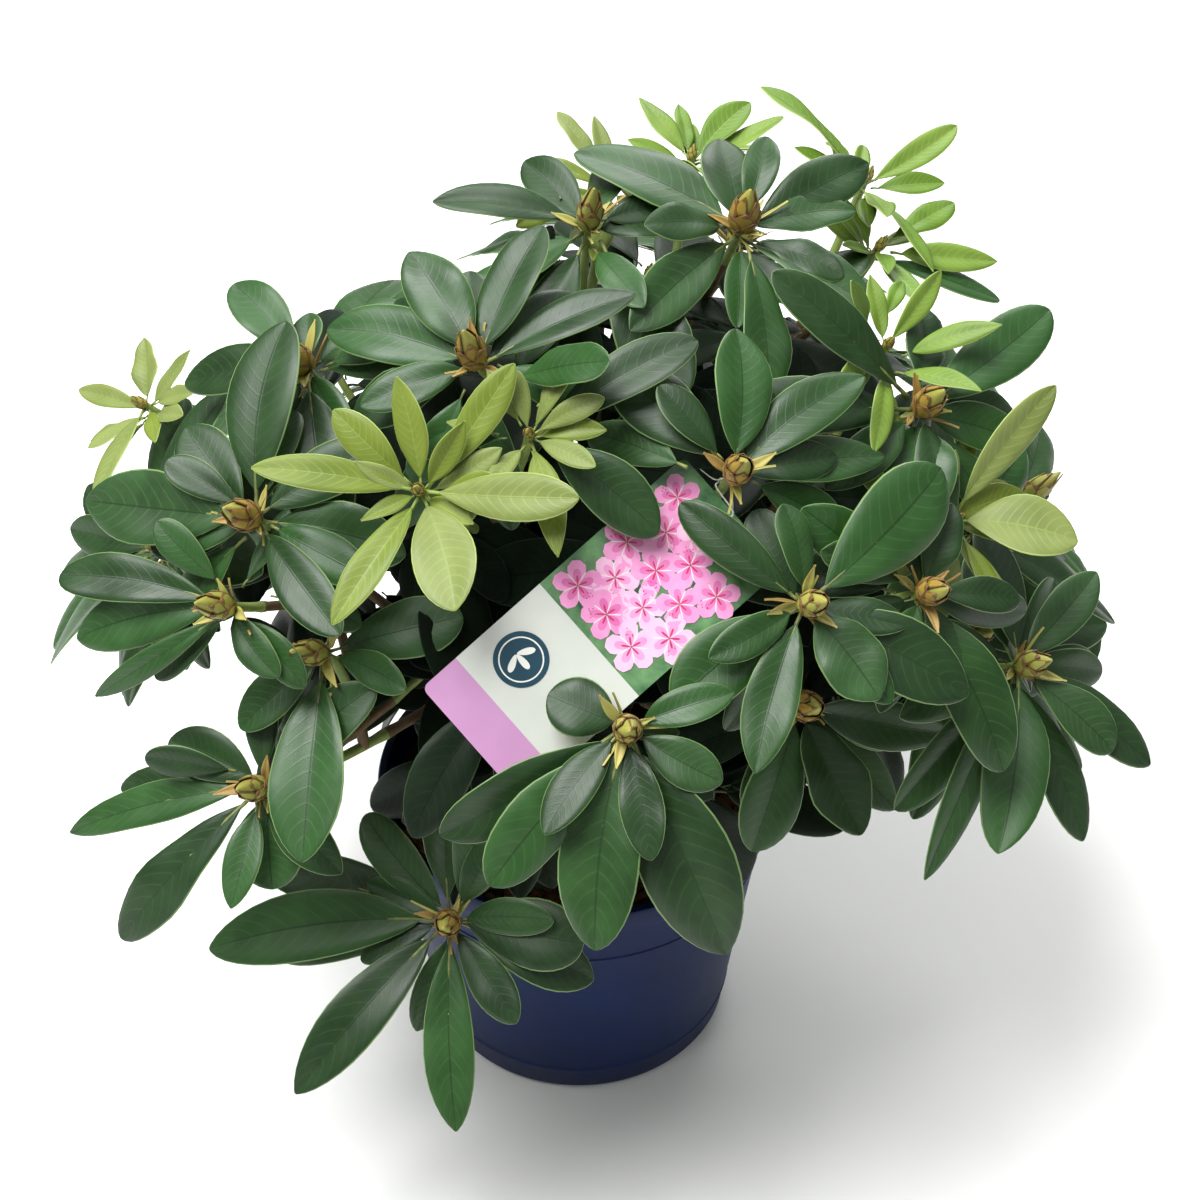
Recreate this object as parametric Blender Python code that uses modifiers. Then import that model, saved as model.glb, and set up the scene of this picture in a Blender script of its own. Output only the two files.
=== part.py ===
"""A budded rhododendron in a plastic nursery pot, with its card plant label.

Metres, +Z up. The origin is the middle of the pot's underside. -Y is the front.

The short main stem forks into five limbs, which carry side boughs. Each bough ends 0.3 mm short of
the stem of one foliage mass. In a mass, twigs run from that stem to whorls: a bud with leaves set
round it. The whorls that give the plant its character are placed by hand in WHORLS. The others fill
the crown by a rule, on two shells, and a leaf or twig that would touch something is left out.
"""

import math
import random
from collections import namedtuple

import bmesh
import bpy
from mathutils import Vector
from mathutils.bvhtree import BVHTree

# ---- Driving dimensions (metres) ----------------------------------------------------------------

POT_HEIGHT = 0.205
POT_STEPS = 32
POT_RIM_RADIUS = 0.130
POT_BASE_RADIUS = 0.103
POT_WALL = 0.0024
POT_LIP_HEIGHT = 0.016
POT_LIP_PROUD = 0.0035
POT_HOLES = 8
POT_HOLE_RADIUS = 0.0075
POT_HOLE_RING = 0.078

SOIL_LEVEL = 0.187
SOIL_CROWN = 0.006
GAP = 0.0003

STEM_FOOT = Vector((0.002, 0.004, SOIL_LEVEL + SOIL_CROWN + GAP))
STEM_FORK = Vector((0.006, 0.000, 0.268))
STEM_FOOT_RADIUS = 0.0165
STEM_RADIUS = 0.0115

LIMB_ROUNDNESS = 1
LIMB_RADII = (0.0085, 0.0055)
BOUGH_RADII = (0.0062, 0.0040)
TWIG_RADII = (0.0034, 0.0025)
TWIG_CLEARANCE = (0.0046, 0.0037)
# A mass's stem runs straight on from its bough for this far.
STEM_LEAD = 0.008

CROWN_CENTRE = Vector((0.010, 0.000, 0.395))
CROWN_REACH = Vector((0.283, 0.249, 0.215))
LOWEST_WHORL = 0.262
SHOULDER_MARGIN = 0.045
LOWEST_LEAF = 0.045

LABEL_LENGTH = 0.185
LABEL_WIDTH = 0.079
LABEL_THICKNESS = 0.0009
LABEL_BOW = 0.006
LABEL_MIDDLE = Vector((0.0135, -0.179, 0.481))
LABEL_HOLE_RADIUS = 0.0022
LABEL_HOLE_INSET = 0.008
TIE_RADIUS = 0.0009
# The whorl whose twig carries the loop, how far down that twig, and how far the loop bows off the card.
TIE_TWIG = (0.082, -0.148, 0.559)
TIE_SHARE = 0.14
TIE_BOW = 0.0028

BUD_LENGTH = 0.027
BUD_RADIUS = 0.0062
COLLAR_RADIUS = 0.0046
LEAF_THICKNESS = 0.0016
TRIES = 11
SEED = 41

UP = Vector((0, 0, 1))
LOOK_UP = Vector((0, 0.64, 0.77))
LIGHT = Vector((0, -0.40, 0.92))

# ---- The crown's plan ---------------------------------------------------------------------------

# Each bough and where it springs from: (parent, how far along the parent).
BOUGHS = {
    "front": ("stem", 1.0),
    "left": ("stem", 1.0),
    "back": ("stem", 1.0),
    "right": ("stem", 1.0),
    "top": ("stem", 1.0),
    "front_low": ("front", 0.45),
    "front_left": ("front", 0.75),
    "left_low": ("left", 0.50),
    "left_crest": ("left", 0.75),
    "right_low": ("right", 0.40),
    "right_reach": ("right", 0.70),
    "right_high": ("right", 0.55),
    "centre": ("top", 0.45),
    "top_left": ("top", 0.60),
    "top_right": ("top", 0.80),
    "back_left": ("back", 0.50),
    "back_right": ("back", 0.75),
    "back_low": ("back", 0.35),
}

# Whorls set by hand. Each has its mass, the place of its bud, its kind, and its leaves as
# (bearing, length, width): degrees clockwise from upright as seen from the front, and millimetres.
# A leaf of another kind than its whorl says so last.
Whorl = namedtuple("Whorl", "mass tip kind leaves")
WHORLS = [
    Whorl("front_low", (-0.076, -0.192, 0.269), "mature",
          ((266, 147, 42), (229, 127, 34), (178, 114, 30), (283, 125, 34), (320, 82, 28),
           (0, 98, 34), (26, 88, 28), (96, 78, 42), (108, 86, 34), (252, 112, 30))),
    Whorl("front", (0.025, -0.236, 0.462), "mature",
          ((190, 108, 44), (156, 122, 51), (217, 102, 38), (242, 106, 34), (296, 42, 32),
           (122, 52, 26), (92, 26, 10))),
    Whorl("front_left", (-0.081, -0.150, 0.551), "pale",
          ((278, 86, 20), (309, 60, 22), (350, 62, 18), (38, 84, 20), (62, 48, 14),
           (95, 92, 26), (158, 72, 34), (210, 82, 20), (120, 34, 14))),
    Whorl("front_left", (-0.024, -0.133, 0.574), "pale",
          ((319, 50, 13), (350, 34, 10), (34, 50, 11), (86, 40, 12), (57, 102, 28, "mature"),
           (262, 56, 18, "mature"), (120, 78, 34, "mature"))),
    Whorl("left", (-0.173, -0.127, 0.516), "mature",
          ((279, 108, 42), (11, 114, 44), (315, 72, 34), (99, 82, 34), (258, 66, 26),
           (60, 84, 30))),
    Whorl("left", (-0.188, -0.151, 0.475), "mature",
          ((283, 102, 28), (263, 96, 34), (243, 94, 14), (19, 64, 18), (312, 74, 30),
           (140, 44, 20))),
    Whorl("left_low", (-0.177, -0.183, 0.370), "mature",
          ((229, 117, 30), (262, 124, 24), (297, 62, 30), (175, 52, 40), (268, 92, 22),
           (2, 62, 20), (132, 62, 28))),
    Whorl("left_low", (-0.140, -0.150, 0.440), "mature",
          ((184, 108, 44), (72, 80, 34), (232, 60, 26))),
    Whorl("left_crest", (-0.258, 0.032, 0.480), "pale",
          ((346, 44, 20), (52, 48, 14), (282, 60, 14), (222, 42, 14), (104, 48, 14))),
    Whorl("left_crest", (-0.150, -0.040, 0.556), "mature",
          ((318, 70, 28), (272, 80, 30), (350, 36, 20), (48, 64, 26), (90, 84, 32))),
    Whorl("centre", (0.082, -0.148, 0.559), "mature",
          ((5, 82, 34), (313, 86, 38), (50, 92, 30), (73, 86, 28), (100, 66, 26))),
    Whorl("right", (0.119, -0.191, 0.506), "mature",
          ((45, 108, 46), (312, 84, 24), (334, 56, 24), (237, 80, 38), (116, 96, 40),
           (142, 57, 36))),
    Whorl("right", (0.185, -0.163, 0.490), "mature",
          ((210, 60, 24), (20, 52, 22), (96, 66, 24))),
    Whorl("right_high", (0.189, -0.076, 0.549), "mature",
          ((315, 122, 30), (52, 104, 34), (7, 70, 34), (101, 70, 28), (186, 58, 40),
           (207, 112, 44))),
    Whorl("right_high", (0.171, -0.050, 0.572), "pale",
          ((350, 40, 12), (40, 56, 14), (300, 36, 12))),
    Whorl("right_reach", (0.251, -0.131, 0.409), "mature",
          ((351, 86, 30), (44, 80, 26), (92, 62, 24), (128, 96, 34), (157, 100, 28),
           (200, 102, 38), (213, 128, 28), (255, 86, 30), (222, 104, 32), (172, 70, 30))),
    Whorl("right_reach", (0.207, -0.111, 0.500), "pale",
          ((36, 92, 22), (104, 68, 38), (72, 46, 20), (10, 60, 18))),
    Whorl("front_low", (-0.030, -0.130, 0.330), "old",
          ((170, 66, 28), (215, 84, 32), (250, 80, 30), (130, 72, 30), (310, 70, 28))),
    Whorl("right_low", (0.070, -0.160, 0.345), "old",
          ((150, 60, 32), (186, 78, 32), (112, 84, 34), (222, 66, 28), (80, 70, 30))),
    Whorl("right_low", (0.126, -0.142, 0.391), "mature",
          ((198, 80, 38), (157, 76, 36), (165, 98, 36), (222, 74, 34), (130, 84, 32),
           (100, 86, 30))),
    Whorl("top_right", (0.176, 0.119, 0.580), "pale",
          ((316, 84, 26), (67, 76, 18), (90, 50, 16), (350, 36, 10), (20, 40, 12))),
    Whorl("top_right", (0.180, 0.070, 0.562), "pale",
          ((51, 74, 20), (85, 80, 22), (341, 38, 11), (105, 82, 24, "mature"),
           (300, 44, 14), (235, 66, 24, "mature"))),
    Whorl("top", (0.072, 0.136, 0.586), "pale",
          ((327, 52, 18), (46, 60, 20), (65, 68, 16), (290, 40, 12), (10, 36, 10),
           (110, 48, 16))),
    Whorl("top", (0.095, 0.025, 0.604), "mature",
          ((302, 104, 44), (358, 66, 34), (60, 94, 32), (226, 96, 32), (125, 86, 32),
           (270, 60, 26))),
    Whorl("top_left", (0.008, 0.020, 0.609), "mature",
          ((278, 86, 22), (325, 62, 26), (243, 82, 28), (82, 54, 26), (202, 80, 30),
           (20, 58, 24))),
    Whorl("top_left", (0.021, 0.085, 0.602), "pale",
          ((322, 50, 14), (350, 44, 12), (40, 40, 12), (285, 48, 14))),
    Whorl("top_left", (-0.052, -0.092, 0.592), "mature",
          ((330, 76, 34), (21, 86, 32), (290, 88, 34), (62, 92, 26), (250, 70, 30))),
    Whorl("back", (0.020, 0.236, 0.480), "mature", ()),
    Whorl("back_left", (-0.160, 0.155, 0.428), "mature", ()),
    Whorl("back_right", (0.176, 0.172, 0.432), "mature", ()),
    Whorl("back_low", (-0.030, 0.215, 0.330), "mature", ()),
]

# How each kind of leaf grows: its pitch from the whorl's axis, sag and fold, and its usual size.
Kind = namedtuple("Kind", "pitch sag fold length width count")
KINDS = {
    "mature": Kind(80, 0.20, 0.16, 0.098, 0.034, 8),
    "pale": Kind(66, 0.10, 0.20, 0.062, 0.017, 7),
    "old": Kind(92, 0.26, 0.12, 0.092, 0.035, 6),
}

# One side of a leaf's outline, as (along, across), by the outline's number of points. The one of 8
# holds both of the others, for testing what a leaf touches.
HALF_OUTLINES = {
    4: [(0.52, 1.12)],
    6: [(0.30, 0.98), (0.80, 0.88)],
    8: [(0.30, 1.00), (0.52, 1.12), (0.80, 0.90)],
}

# The rule that fills the crown: (kind, reach of the shell, spacing of its whorls, seeds tried).
SHELLS = (("mature", 0.96, 0.089, 150), ("old", 0.70, 0.076, 130))

# Slopes that bound the crown, which is lower on its left: (direction, how far it reaches that way).
SHOULDERS = (
    ((-0.48, 0.41, 0.77), 0.505),
    ((0.72, 0.26, 0.64), 0.530),
    ((0.95, -0.05, 0.29), 0.425),
    ((-0.97, -0.18, 0.14), 0.372),
    ((0.03, 0.46, 0.89), 0.625),
)
# Below this height the rule sets no whorl on the crown's front.
OPEN_FRONT_HEIGHT = 0.40

# Where the crown lets light through, as seen from VIEWER: (x, height, radius) on the plane through
# the pot's axis. Leaves that the rule sets keep out of these lines of sight.
VIEWER = Vector((0, -1.10, 1.26))
OPENINGS = (
    (-0.310, 0.228, 0.024), (-0.272, 0.257, 0.018), (-0.237, 0.269, 0.013), (-0.206, 0.286, 0.008),
    (-0.139, 0.220, 0.013), (-0.116, 0.237, 0.009), (-0.155, 0.186, 0.008), (-0.175, 0.125, 0.006),
    (-0.119, 0.367, 0.008), (-0.193, 0.351, 0.007), (-0.147, 0.320, 0.005), (-0.130, 0.519, 0.005),
    (0.060, 0.583, 0.006), (0.128, 0.564, 0.006), (0.174, 0.554, 0.007), (0.137, 0.434, 0.005),
    (0.215, 0.247, 0.006), (0.314, 0.412, 0.016), (0.304, 0.465, 0.016), (0.354, 0.348, 0.015),
    (-0.136, 0.593, 0.014), (-0.098, 0.621, 0.014), (-0.160, 0.573, 0.011),
)
OPENING_DEPTH = 0.36
OPENING_MARGIN = 0.012

FOLIAGE_GREEN = (0.035, 0.105, 0.045)
PALE_GREEN = (0.30, 0.42, 0.10)
BARK_BROWN = (0.115, 0.075, 0.045)
POT_BLUE = (0.016, 0.030, 0.105)
SOIL_BROWN = (0.070, 0.038, 0.022)
CARD_WHITE = (0.78, 0.79, 0.75)


# ---- Growth rule --------------------------------------------------------------------------------

Twig = namedtuple("Twig", "mass path radii")
Bud = namedtuple("Bud", "mass tip axis kind")
Obstacle = namedtuple("Obstacle", "owner middle reach tree")


def whorl_axis(tip):
    """A shoot leans outwards from the crown's middle and turns to the light, up and to the front."""
    outward = Vector([(tip[i] - CROWN_CENTRE[i]) / CROWN_REACH[i] ** 2 for i in range(3)])
    outward.normalize()
    return (0.60 * Vector((outward.x, outward.y, 0)) + 0.80 * LIGHT).normalized()


def within_shoulders(point, margin=0.0):
    """Whether a point keeps inside the slopes that bound the crown."""
    return all(Vector(slope).dot(point) < limit - margin for slope, limit in SHOULDERS)


def in_opening(point, margin):
    """Whether a point lies in a line of sight that stays open, or within the margin of it."""
    for x, height, radius in OPENINGS:
        line = (Vector((x, 0, height)) - VIEWER).normalized()
        if (point - VIEWER).cross(line).length < radius + margin:
            return True
    return False


class Leaf:
    """One leaf. place(along, across, over) turns leaf coordinates into a point of the crown:
    along runs 0 to 1 from root to tip, across -1 to 1, and over is metres above the blade."""

    def __init__(self, mass, kind, base, axis, bearing, pitch, length, width, roll, by_hand):
        rise = (LOOK_UP - axis * LOOK_UP.dot(axis)).normalized()
        spoke = rise * math.cos(bearing) + rise.cross(axis) * math.sin(bearing)
        self.mass, self.kind, self.base, self.by_hand = mass, kind, base, by_hand
        self.length, self.width = length, width
        self.heading = (spoke * math.sin(pitch) + axis * math.cos(pitch)).normalized()
        face = (axis - self.heading * axis.dot(self.heading)).normalized()
        side = self.heading.cross(face)
        self.face = face * math.cos(roll) + side * math.sin(roll)
        self.side = self.heading.cross(self.face)
        self.base += spoke * COLLAR_RADIUS * 0.5
        self.fall = (-0.6 * self.face - 0.4 * UP) * KINDS[kind].sag * length
        self.fold = KINDS[kind].fold

    def place(self, along, across, over):
        half = self.width / 2
        point = self.base + self.heading * (self.length * along) + self.fall * along ** 2
        lift = abs(across) * half * self.fold + over
        return point + self.side * (across * half) + self.face * lift

    def cage(self, sides, thickness=LEAF_THICKNESS):
        """The leaf as a blade with a raised middle: its outline of 4, 6 or 8 points, top and bottom."""
        half = HALF_OUTLINES[sides]
        back = [(along, -across) for along, across in reversed(half)]
        points = [self.place(along, across, 0) for along, across in [(0, 0), *half, (1, 0), *back]]
        return points + [self.place(0.56, 0, over * thickness / 2) for over in (1, -1)]

    def obstacle(self):
        """What other leaves keep clear of: the blade from just past its root."""
        points = self.cage(8, LEAF_THICKNESS * 2)
        points[0] = self.place(0.11, 0, 0)
        faces = [(i, (i + 1) % 8, top) for i in range(8) for top in (8, 9)]
        return obstacle_of(id(self), points, faces)


def obstacle_of(owner, points, faces):
    middle = sum(points, Vector()) / len(points)
    reach = max((point - middle).length for point in points)
    return Obstacle(owner, middle, reach, BVHTree.FromPolygons(points, faces))


def bezier(start, control, end, steps):
    """Points of a quadratic curve from start to end."""
    times = [step / steps for step in range(steps + 1)]
    return [start * (1 - t) ** 2 + control * (2 * t * (1 - t)) + end * t ** 2 for t in times]


def smooth_loop(corners, steps):
    """Points of a closed curve that runs smoothly through every corner."""
    points = []
    for here, corner in enumerate(corners):
        before, after = corners[here - 1], corners[(here + 1) % len(corners)]
        beyond = corners[(here + 2) % len(corners)]
        for step in range(steps):
            t = step / steps
            points.append(0.5 * (2 * corner + (after - before) * t
                                 + (2 * before - 5 * corner + 4 * after - beyond) * t ** 2
                                 + (3 * corner - before - 3 * after + beyond) * t ** 3))
    return points


def along_path(path, share):
    """The point at this share of the path's number of steps."""
    place = share * (len(path) - 1)
    step = min(int(place), len(path) - 2)
    return path[step].lerp(path[step + 1], place - step)


def tapered(radii, count):
    return [radii[0] + (radii[1] - radii[0]) * step / (count - 1) for step in range(count)]


def tube_obstacle(owner, path, radii, sides=6):
    """A closed tube round a path, to test against."""
    points = []
    for step, centre in enumerate(path):
        ahead = path[min(step + 1, len(path) - 1)] - path[max(step - 1, 0)]
        across = ahead.orthogonal().normalized()
        other = ahead.normalized().cross(across)
        turns = [2 * math.pi * side / sides for side in range(sides)]
        points += [centre + (across * math.cos(a) + other * math.sin(a)) * radii[step] for a in turns]
    faces = []
    for step in range(len(path) - 1):
        for side in range(sides):
            near, far = step * sides + side, step * sides + (side + 1) % sides
            faces.append((near, far, far + sides, near + sides))
    return obstacle_of(owner, points, faces)


def touches(thing, others, ignored=()):
    for other in others:
        if other.owner in ignored or (thing.middle - other.middle).length > thing.reach + other.reach:
            continue
        if thing.tree.overlap(other.tree):
            return True
    return False


def limb_paths():
    """The main stem and every bough: name -> (path, radii). A bough ends about half way from the
    fork to the middle of its mass, where the mass's own stem takes over."""
    stem = bezier(STEM_FOOT, STEM_FOOT.lerp(STEM_FORK, 0.5) + Vector((-0.003, 0.002, 0)), STEM_FORK, 4)
    flare = [STEM_FOOT_RADIUS, 0.0130, 0.0120, 0.0117, STEM_RADIUS]
    limbs = {"stem": (stem, flare)}
    for name, (parent, share) in BOUGHS.items():
        tips = [Vector(whorl.tip) for whorl in WHORLS if whorl.mass == name]
        middle = sum(tips, Vector()) / len(tips)
        main = parent == "stem"
        start = along_path(limbs[parent][0], share)
        end = STEM_FORK.lerp(middle, 0.50 if main else 0.58)
        bend = start.lerp(end, 0.5) + (Vector((0, 0, -0.012)) if main else Vector((0, 0, 0.004)))
        path = bezier(start, bend, end, 5)
        limbs[name] = (path, tapered(LIMB_RADII if main else BOUGH_RADII, len(path)))
    return limbs


def fill_whorls():
    """Whorls that fill the crown between those set by hand, evenly, on each shell. Each joins the
    mass whose whorls are nearest."""
    filled = []
    golden = math.pi * (3 - math.sqrt(5))
    for kind, reach, spacing, seeds in SHELLS:
        for seed in range(seeds):
            height = 1 - 2 * (seed + 0.5) / seeds
            ring = math.sqrt(1 - height * height)
            spot = Vector((ring * math.cos(golden * seed), ring * math.sin(golden * seed), height))
            wobble = 1 + 0.05 * math.sin(seed * 2.4)
            tip = CROWN_CENTRE + Vector([spot[i] * CROWN_REACH[i] for i in range(3)]) * reach * wobble
            near = min(WHORLS, key=lambda whorl: (Vector(whorl.tip) - tip).length)
            others = WHORLS + filled
            if tip.z < LOWEST_WHORL or not within_shoulders(tip, SHOULDER_MARGIN):
                continue
            if tip.y < -0.05 and tip.z < OPEN_FRONT_HEIGHT:
                continue
            if in_opening(tip, OPENING_MARGIN):
                continue
            if min((Vector(other.tip) - tip).length for other in others) < spacing:
                continue
            filled.append(Whorl(near.mass, tuple(tip), kind, ()))
    return filled


def grow_twigs(limbs, obstacles):
    """A twig for each whorl. The first of a mass starts at its bough's tip and is the mass's stem,
    and the others branch from it. Each tries a few routes, and a filling whorl with none is dropped."""
    twigs, buds, stems = [], [], {}
    for whorl in WHORLS + fill_whorls():
        tip = Vector(whorl.tip)
        axis = whorl_axis(tip)
        bough = limbs[whorl.mass][0]
        ahead = (bough[-1] - bough[-2]).normalized()
        fixed = len(twigs) < len(WHORLS)
        bud_space = tube_obstacle(("bud", tuple(tip)), [tip - axis * 0.012, tip + axis * BUD_LENGTH],
                                  [BUD_RADIUS * 1.5, BUD_RADIUS * 0.7])
        if not fixed and touches(bud_space, obstacles, (whorl.mass,)):
            continue
        for route in range(12):
            if whorl.mass in stems:
                start = along_path(stems[whorl.mass], (0.24, 0.38, 0.52, 0.66)[route % 4])
                lead = []
            else:
                start = bough[-1] + ahead * STEM_LEAD
                lead = [bough[-1] + ahead * GAP]
            reach = (tip - start).length
            bend = tip - axis * reach * (0.42, 0.25, 0.62)[route // 4] + ahead * reach * 0.06
            path = bezier(start, bend, tip, 4)
            clear = tube_obstacle(whorl.mass, path, tapered(TWIG_CLEARANCE, len(path)))
            if not touches(clear, obstacles, (whorl.mass,)):
                break
        else:
            if not fixed:
                continue
        stems.setdefault(whorl.mass, path)
        path = lead + path
        twigs.append(Twig(whorl.mass, path, tapered(TWIG_RADII, len(path))))
        buds.append((whorl, Bud(whorl.mass, tip, axis, whorl.kind)))
        obstacles.append(clear)
        obstacles.append(bud_space)
    return twigs, buds


def leaf_wishes(whorl, dice):
    """(kind, bearing, length, width, set by hand) of the leaves that a whorl tries to hold."""
    kind = KINDS[whorl.kind]
    wishes = []
    for bearing, length, width, *other in whorl.leaves:
        own = other[0] if other else whorl.kind
        wishes.append((own, math.radians(bearing), length / 1000, width / 1000, True))
    taken = [wish[1] for wish in wishes]
    turn = dice.uniform(0, 2 * math.pi)
    for count in range(kind.count + 1):
        bearing = (turn + count * 2 * math.pi / (kind.count + 1)) % (2 * math.pi)
        apart = [abs((bearing - other + math.pi) % (2 * math.pi) - math.pi) for other in taken]
        if not taken or min(apart) > math.radians(34):
            length = kind.length * dice.uniform(0.80, 1.18)
            width = kind.width * length / kind.length * dice.uniform(0.9, 1.1)
            wishes.append((whorl.kind, bearing, length, width, False))
    return wishes


def grow_leaves(buds, obstacles):
    """Leaves round every bud. A leaf that would touch anything turns or tilts a little, a few
    times, and is then left out. Only leaves set by hand may lie in front of the label."""
    leaves = []
    for number, (whorl, bud) in enumerate(buds):
        dice = random.Random(SEED * 1000 + number)
        own = (("bud", tuple(bud.tip)), whorl.mass)
        for count, (kind, bearing, length, width, by_hand) in enumerate(leaf_wishes(whorl, dice)):
            pitch = math.radians(KINDS[kind].pitch + dice.uniform(-7, 9))
            roll = math.radians(dice.uniform(-16, 16))
            base = bud.tip - bud.axis * (0.001 + 0.0022 * (count % 5))
            for attempt in range(TRIES):
                swing = (attempt + 1) // 2 * (-1) ** attempt
                shrink = 1 - 0.025 * attempt
                leaf = Leaf(whorl.mass, kind, base, bud.axis, bearing + math.radians(5) * swing,
                            pitch + math.radians(7) * swing, length * shrink, width * shrink,
                            roll, by_hand)
                body = leaf.obstacle()
                end = leaf.place(1, 0, 0)
                outside = end.z < LOWEST_LEAF or not (by_hand or within_shoulders(end))
                ignored = (*own, "label_view", "opening") if by_hand else own
                if not outside and not touches(body, obstacles, ignored):
                    leaves.append(leaf)
                    obstacles.append(body)
                    break
    return leaves


def label_place(along, across, over=0.0):
    """A point of the bowed label. along runs from -1, its foot, to 1, its hole end."""
    axis = Vector((0.755, 0.420, 0.504)).normalized()
    face = Vector((0.0, -0.765, 0.644))
    face = (face - axis * face.dot(axis)).normalized()
    bow = LABEL_BOW * (1 - along * along) + over
    return (LABEL_MIDDLE + axis * (along * LABEL_LENGTH / 2)
            + axis.cross(face) * (across * LABEL_WIDTH / 2) + face * bow)


def label_hole():
    return label_place(1 - 2 * LABEL_HOLE_INSET / LABEL_LENGTH, 0)


def tie_path(twigs):
    """The loop that hangs the label: through its hole, up both of its faces and over the twig."""
    twig = min(twigs, key=lambda twig: (twig.path[-1] - Vector(TIE_TWIG)).length)
    way = (twig.path[-1] - twig.path[-2]).normalized()
    seat = along_path(twig.path, 1 - TIE_SHARE)
    side = way.cross(UP).normalized()
    over = side.cross(way)
    reach = TWIG_RADII[1] + TIE_RADIUS + GAP * 1.5
    arc = [math.radians(turn) for turn in (0, 45, 90, 135, 180)]
    saddle = [seat + (side * math.cos(turn) + over * math.sin(turn)) * reach for turn in arc]
    along = (label_place(1, 0) - label_place(0.9, 0)).normalized()
    face = label_place(1, 0, 1) - label_place(1, 0)
    end = label_place(1, 0)
    hole = label_hole() + along * (LABEL_HOLE_RADIUS - TIE_RADIUS - GAP * 1.6)
    front = [hole + face * TIE_BOW + along * 0.0022, end + face * TIE_BOW]
    back = [end - face * TIE_BOW, hole - face * TIE_BOW + along * 0.0022]
    return smooth_loop([hole, *front, *saddle, *back], 3)


def fixed_obstacles(limbs):
    """Everything that twigs and leaves grow round: limbs, label and pot."""
    found = []
    for name, (path, radii) in limbs.items():
        found.append(tube_obstacle("bough_" + name, path, [radius + 0.001 for radius in radii], 8))
    outline = ((-1, -1), (-1, 1), (0, 1), (1, 1), (1, -1), (0, -1))
    corners = [label_place(a, c, depth) for depth in (-0.003, 0.003) for a, c in outline]
    sides = [(i, (i + 1) % 6, (i + 1) % 6 + 6, i + 6) for i in range(6)]
    faces = [tuple(range(6)), tuple(range(6, 12))] + sides
    found.append(obstacle_of("label", corners, faces))
    for depth in (0.015, 0.03, 0.05, 0.07):
        view = [label_place(a * 0.96, c * 0.96, depth) for a, c in outline]
        found.append(obstacle_of("label_view", view, [tuple(range(6))]))
    for across in (-0.8, -0.4, 0, 0.4, 0.8):
        view = [label_place(a, across, depth) for a, depth in ((-1, 0.01), (1, 0.01), (1, 0.14), (-1, 0.14))]
        found.append(obstacle_of("label_view", view, [(0, 1, 2, 3)]))
    lip = POT_RIM_RADIUS + POT_LIP_PROUD + 0.002
    found.append(tube_obstacle("pot", [Vector(), UP * POT_HEIGHT], [lip - 0.02, lip], 24))
    turns = [2 * math.pi * side / 24 for side in range(24)]
    rim = [Vector((lip * math.cos(a), lip * math.sin(a), POT_HEIGHT + 0.002)) for a in turns]
    found.append(obstacle_of("pot", rim, [tuple(range(24))]))
    return found


def opening_obstacles():
    """The lines of sight that stay open, as tunnels through the crown."""
    found = []
    for x, height, radius in OPENINGS:
        middle = Vector((x, 0, height))
        reach = (middle - VIEWER).normalized() * OPENING_DEPTH
        ends = [middle - reach, middle + reach]
        found.append(tube_obstacle("opening", ends, [radius * 0.78, radius * 1.22], 8))
    return found


def grow():
    """(limbs, twigs, buds, leaves, the label's loop) of the whole plant."""
    limbs = limb_paths()
    obstacles = fixed_obstacles(limbs)
    twigs, buds = grow_twigs(limbs, obstacles)
    loop = tie_path(twigs)
    obstacles.append(tube_obstacle("tie", loop, [TIE_RADIUS + 0.001] * len(loop)))
    obstacles += opening_obstacles()
    leaves = grow_leaves(buds, obstacles)
    return limbs, twigs, [bud for _, bud in buds], leaves, loop


# ---- Modelling helpers --------------------------------------------------------------------------


def clear_scene():
    for thing in list(bpy.data.objects):
        bpy.data.objects.remove(thing, do_unlink=True)


def new_collection(name):
    collection = bpy.data.collections.new(name)
    bpy.context.scene.collection.children.link(collection)
    return collection


def material(name, colour, roughness, metallic=0.0):
    made = bpy.data.materials.new(name)
    made.use_nodes = True
    shader = made.node_tree.nodes["Principled BSDF"]
    shader.inputs["Base Color"].default_value = (*colour, 1)
    shader.inputs["Roughness"].default_value = roughness
    shader.inputs["Metallic"].default_value = metallic
    return made


def add_object(name, mesh, collection, finish):
    thing = bpy.data.objects.new(name, mesh)
    collection.objects.link(thing)
    thing.data.materials.clear()
    thing.data.materials.append(finish)
    return thing


def applied(thing):
    """The object's mesh as its modifiers leave it."""
    bpy.context.view_layer.update()
    graph = bpy.context.evaluated_depsgraph_get()
    mesh = bpy.data.meshes.new_from_object(thing.evaluated_get(graph))
    thing.modifiers.clear()
    thing.data = mesh
    return mesh


def turned(name, profile, steps, collection, finish):
    """A profile of (radius, height), outer side first and downwards, turned about Z."""
    mesh = bpy.data.meshes.new(name)
    points = [(radius, 0, height) for radius, height in profile]
    mesh.from_pydata(points, [(i, i + 1) for i in range(len(points) - 1)], [])
    thing = add_object(name, mesh, collection, finish)
    screw = thing.modifiers.new("turn", "SCREW")
    screw.steps = screw.render_steps = steps
    screw.use_merge_vertices = True
    screw.merge_threshold = 0.00001
    return thing


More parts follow.
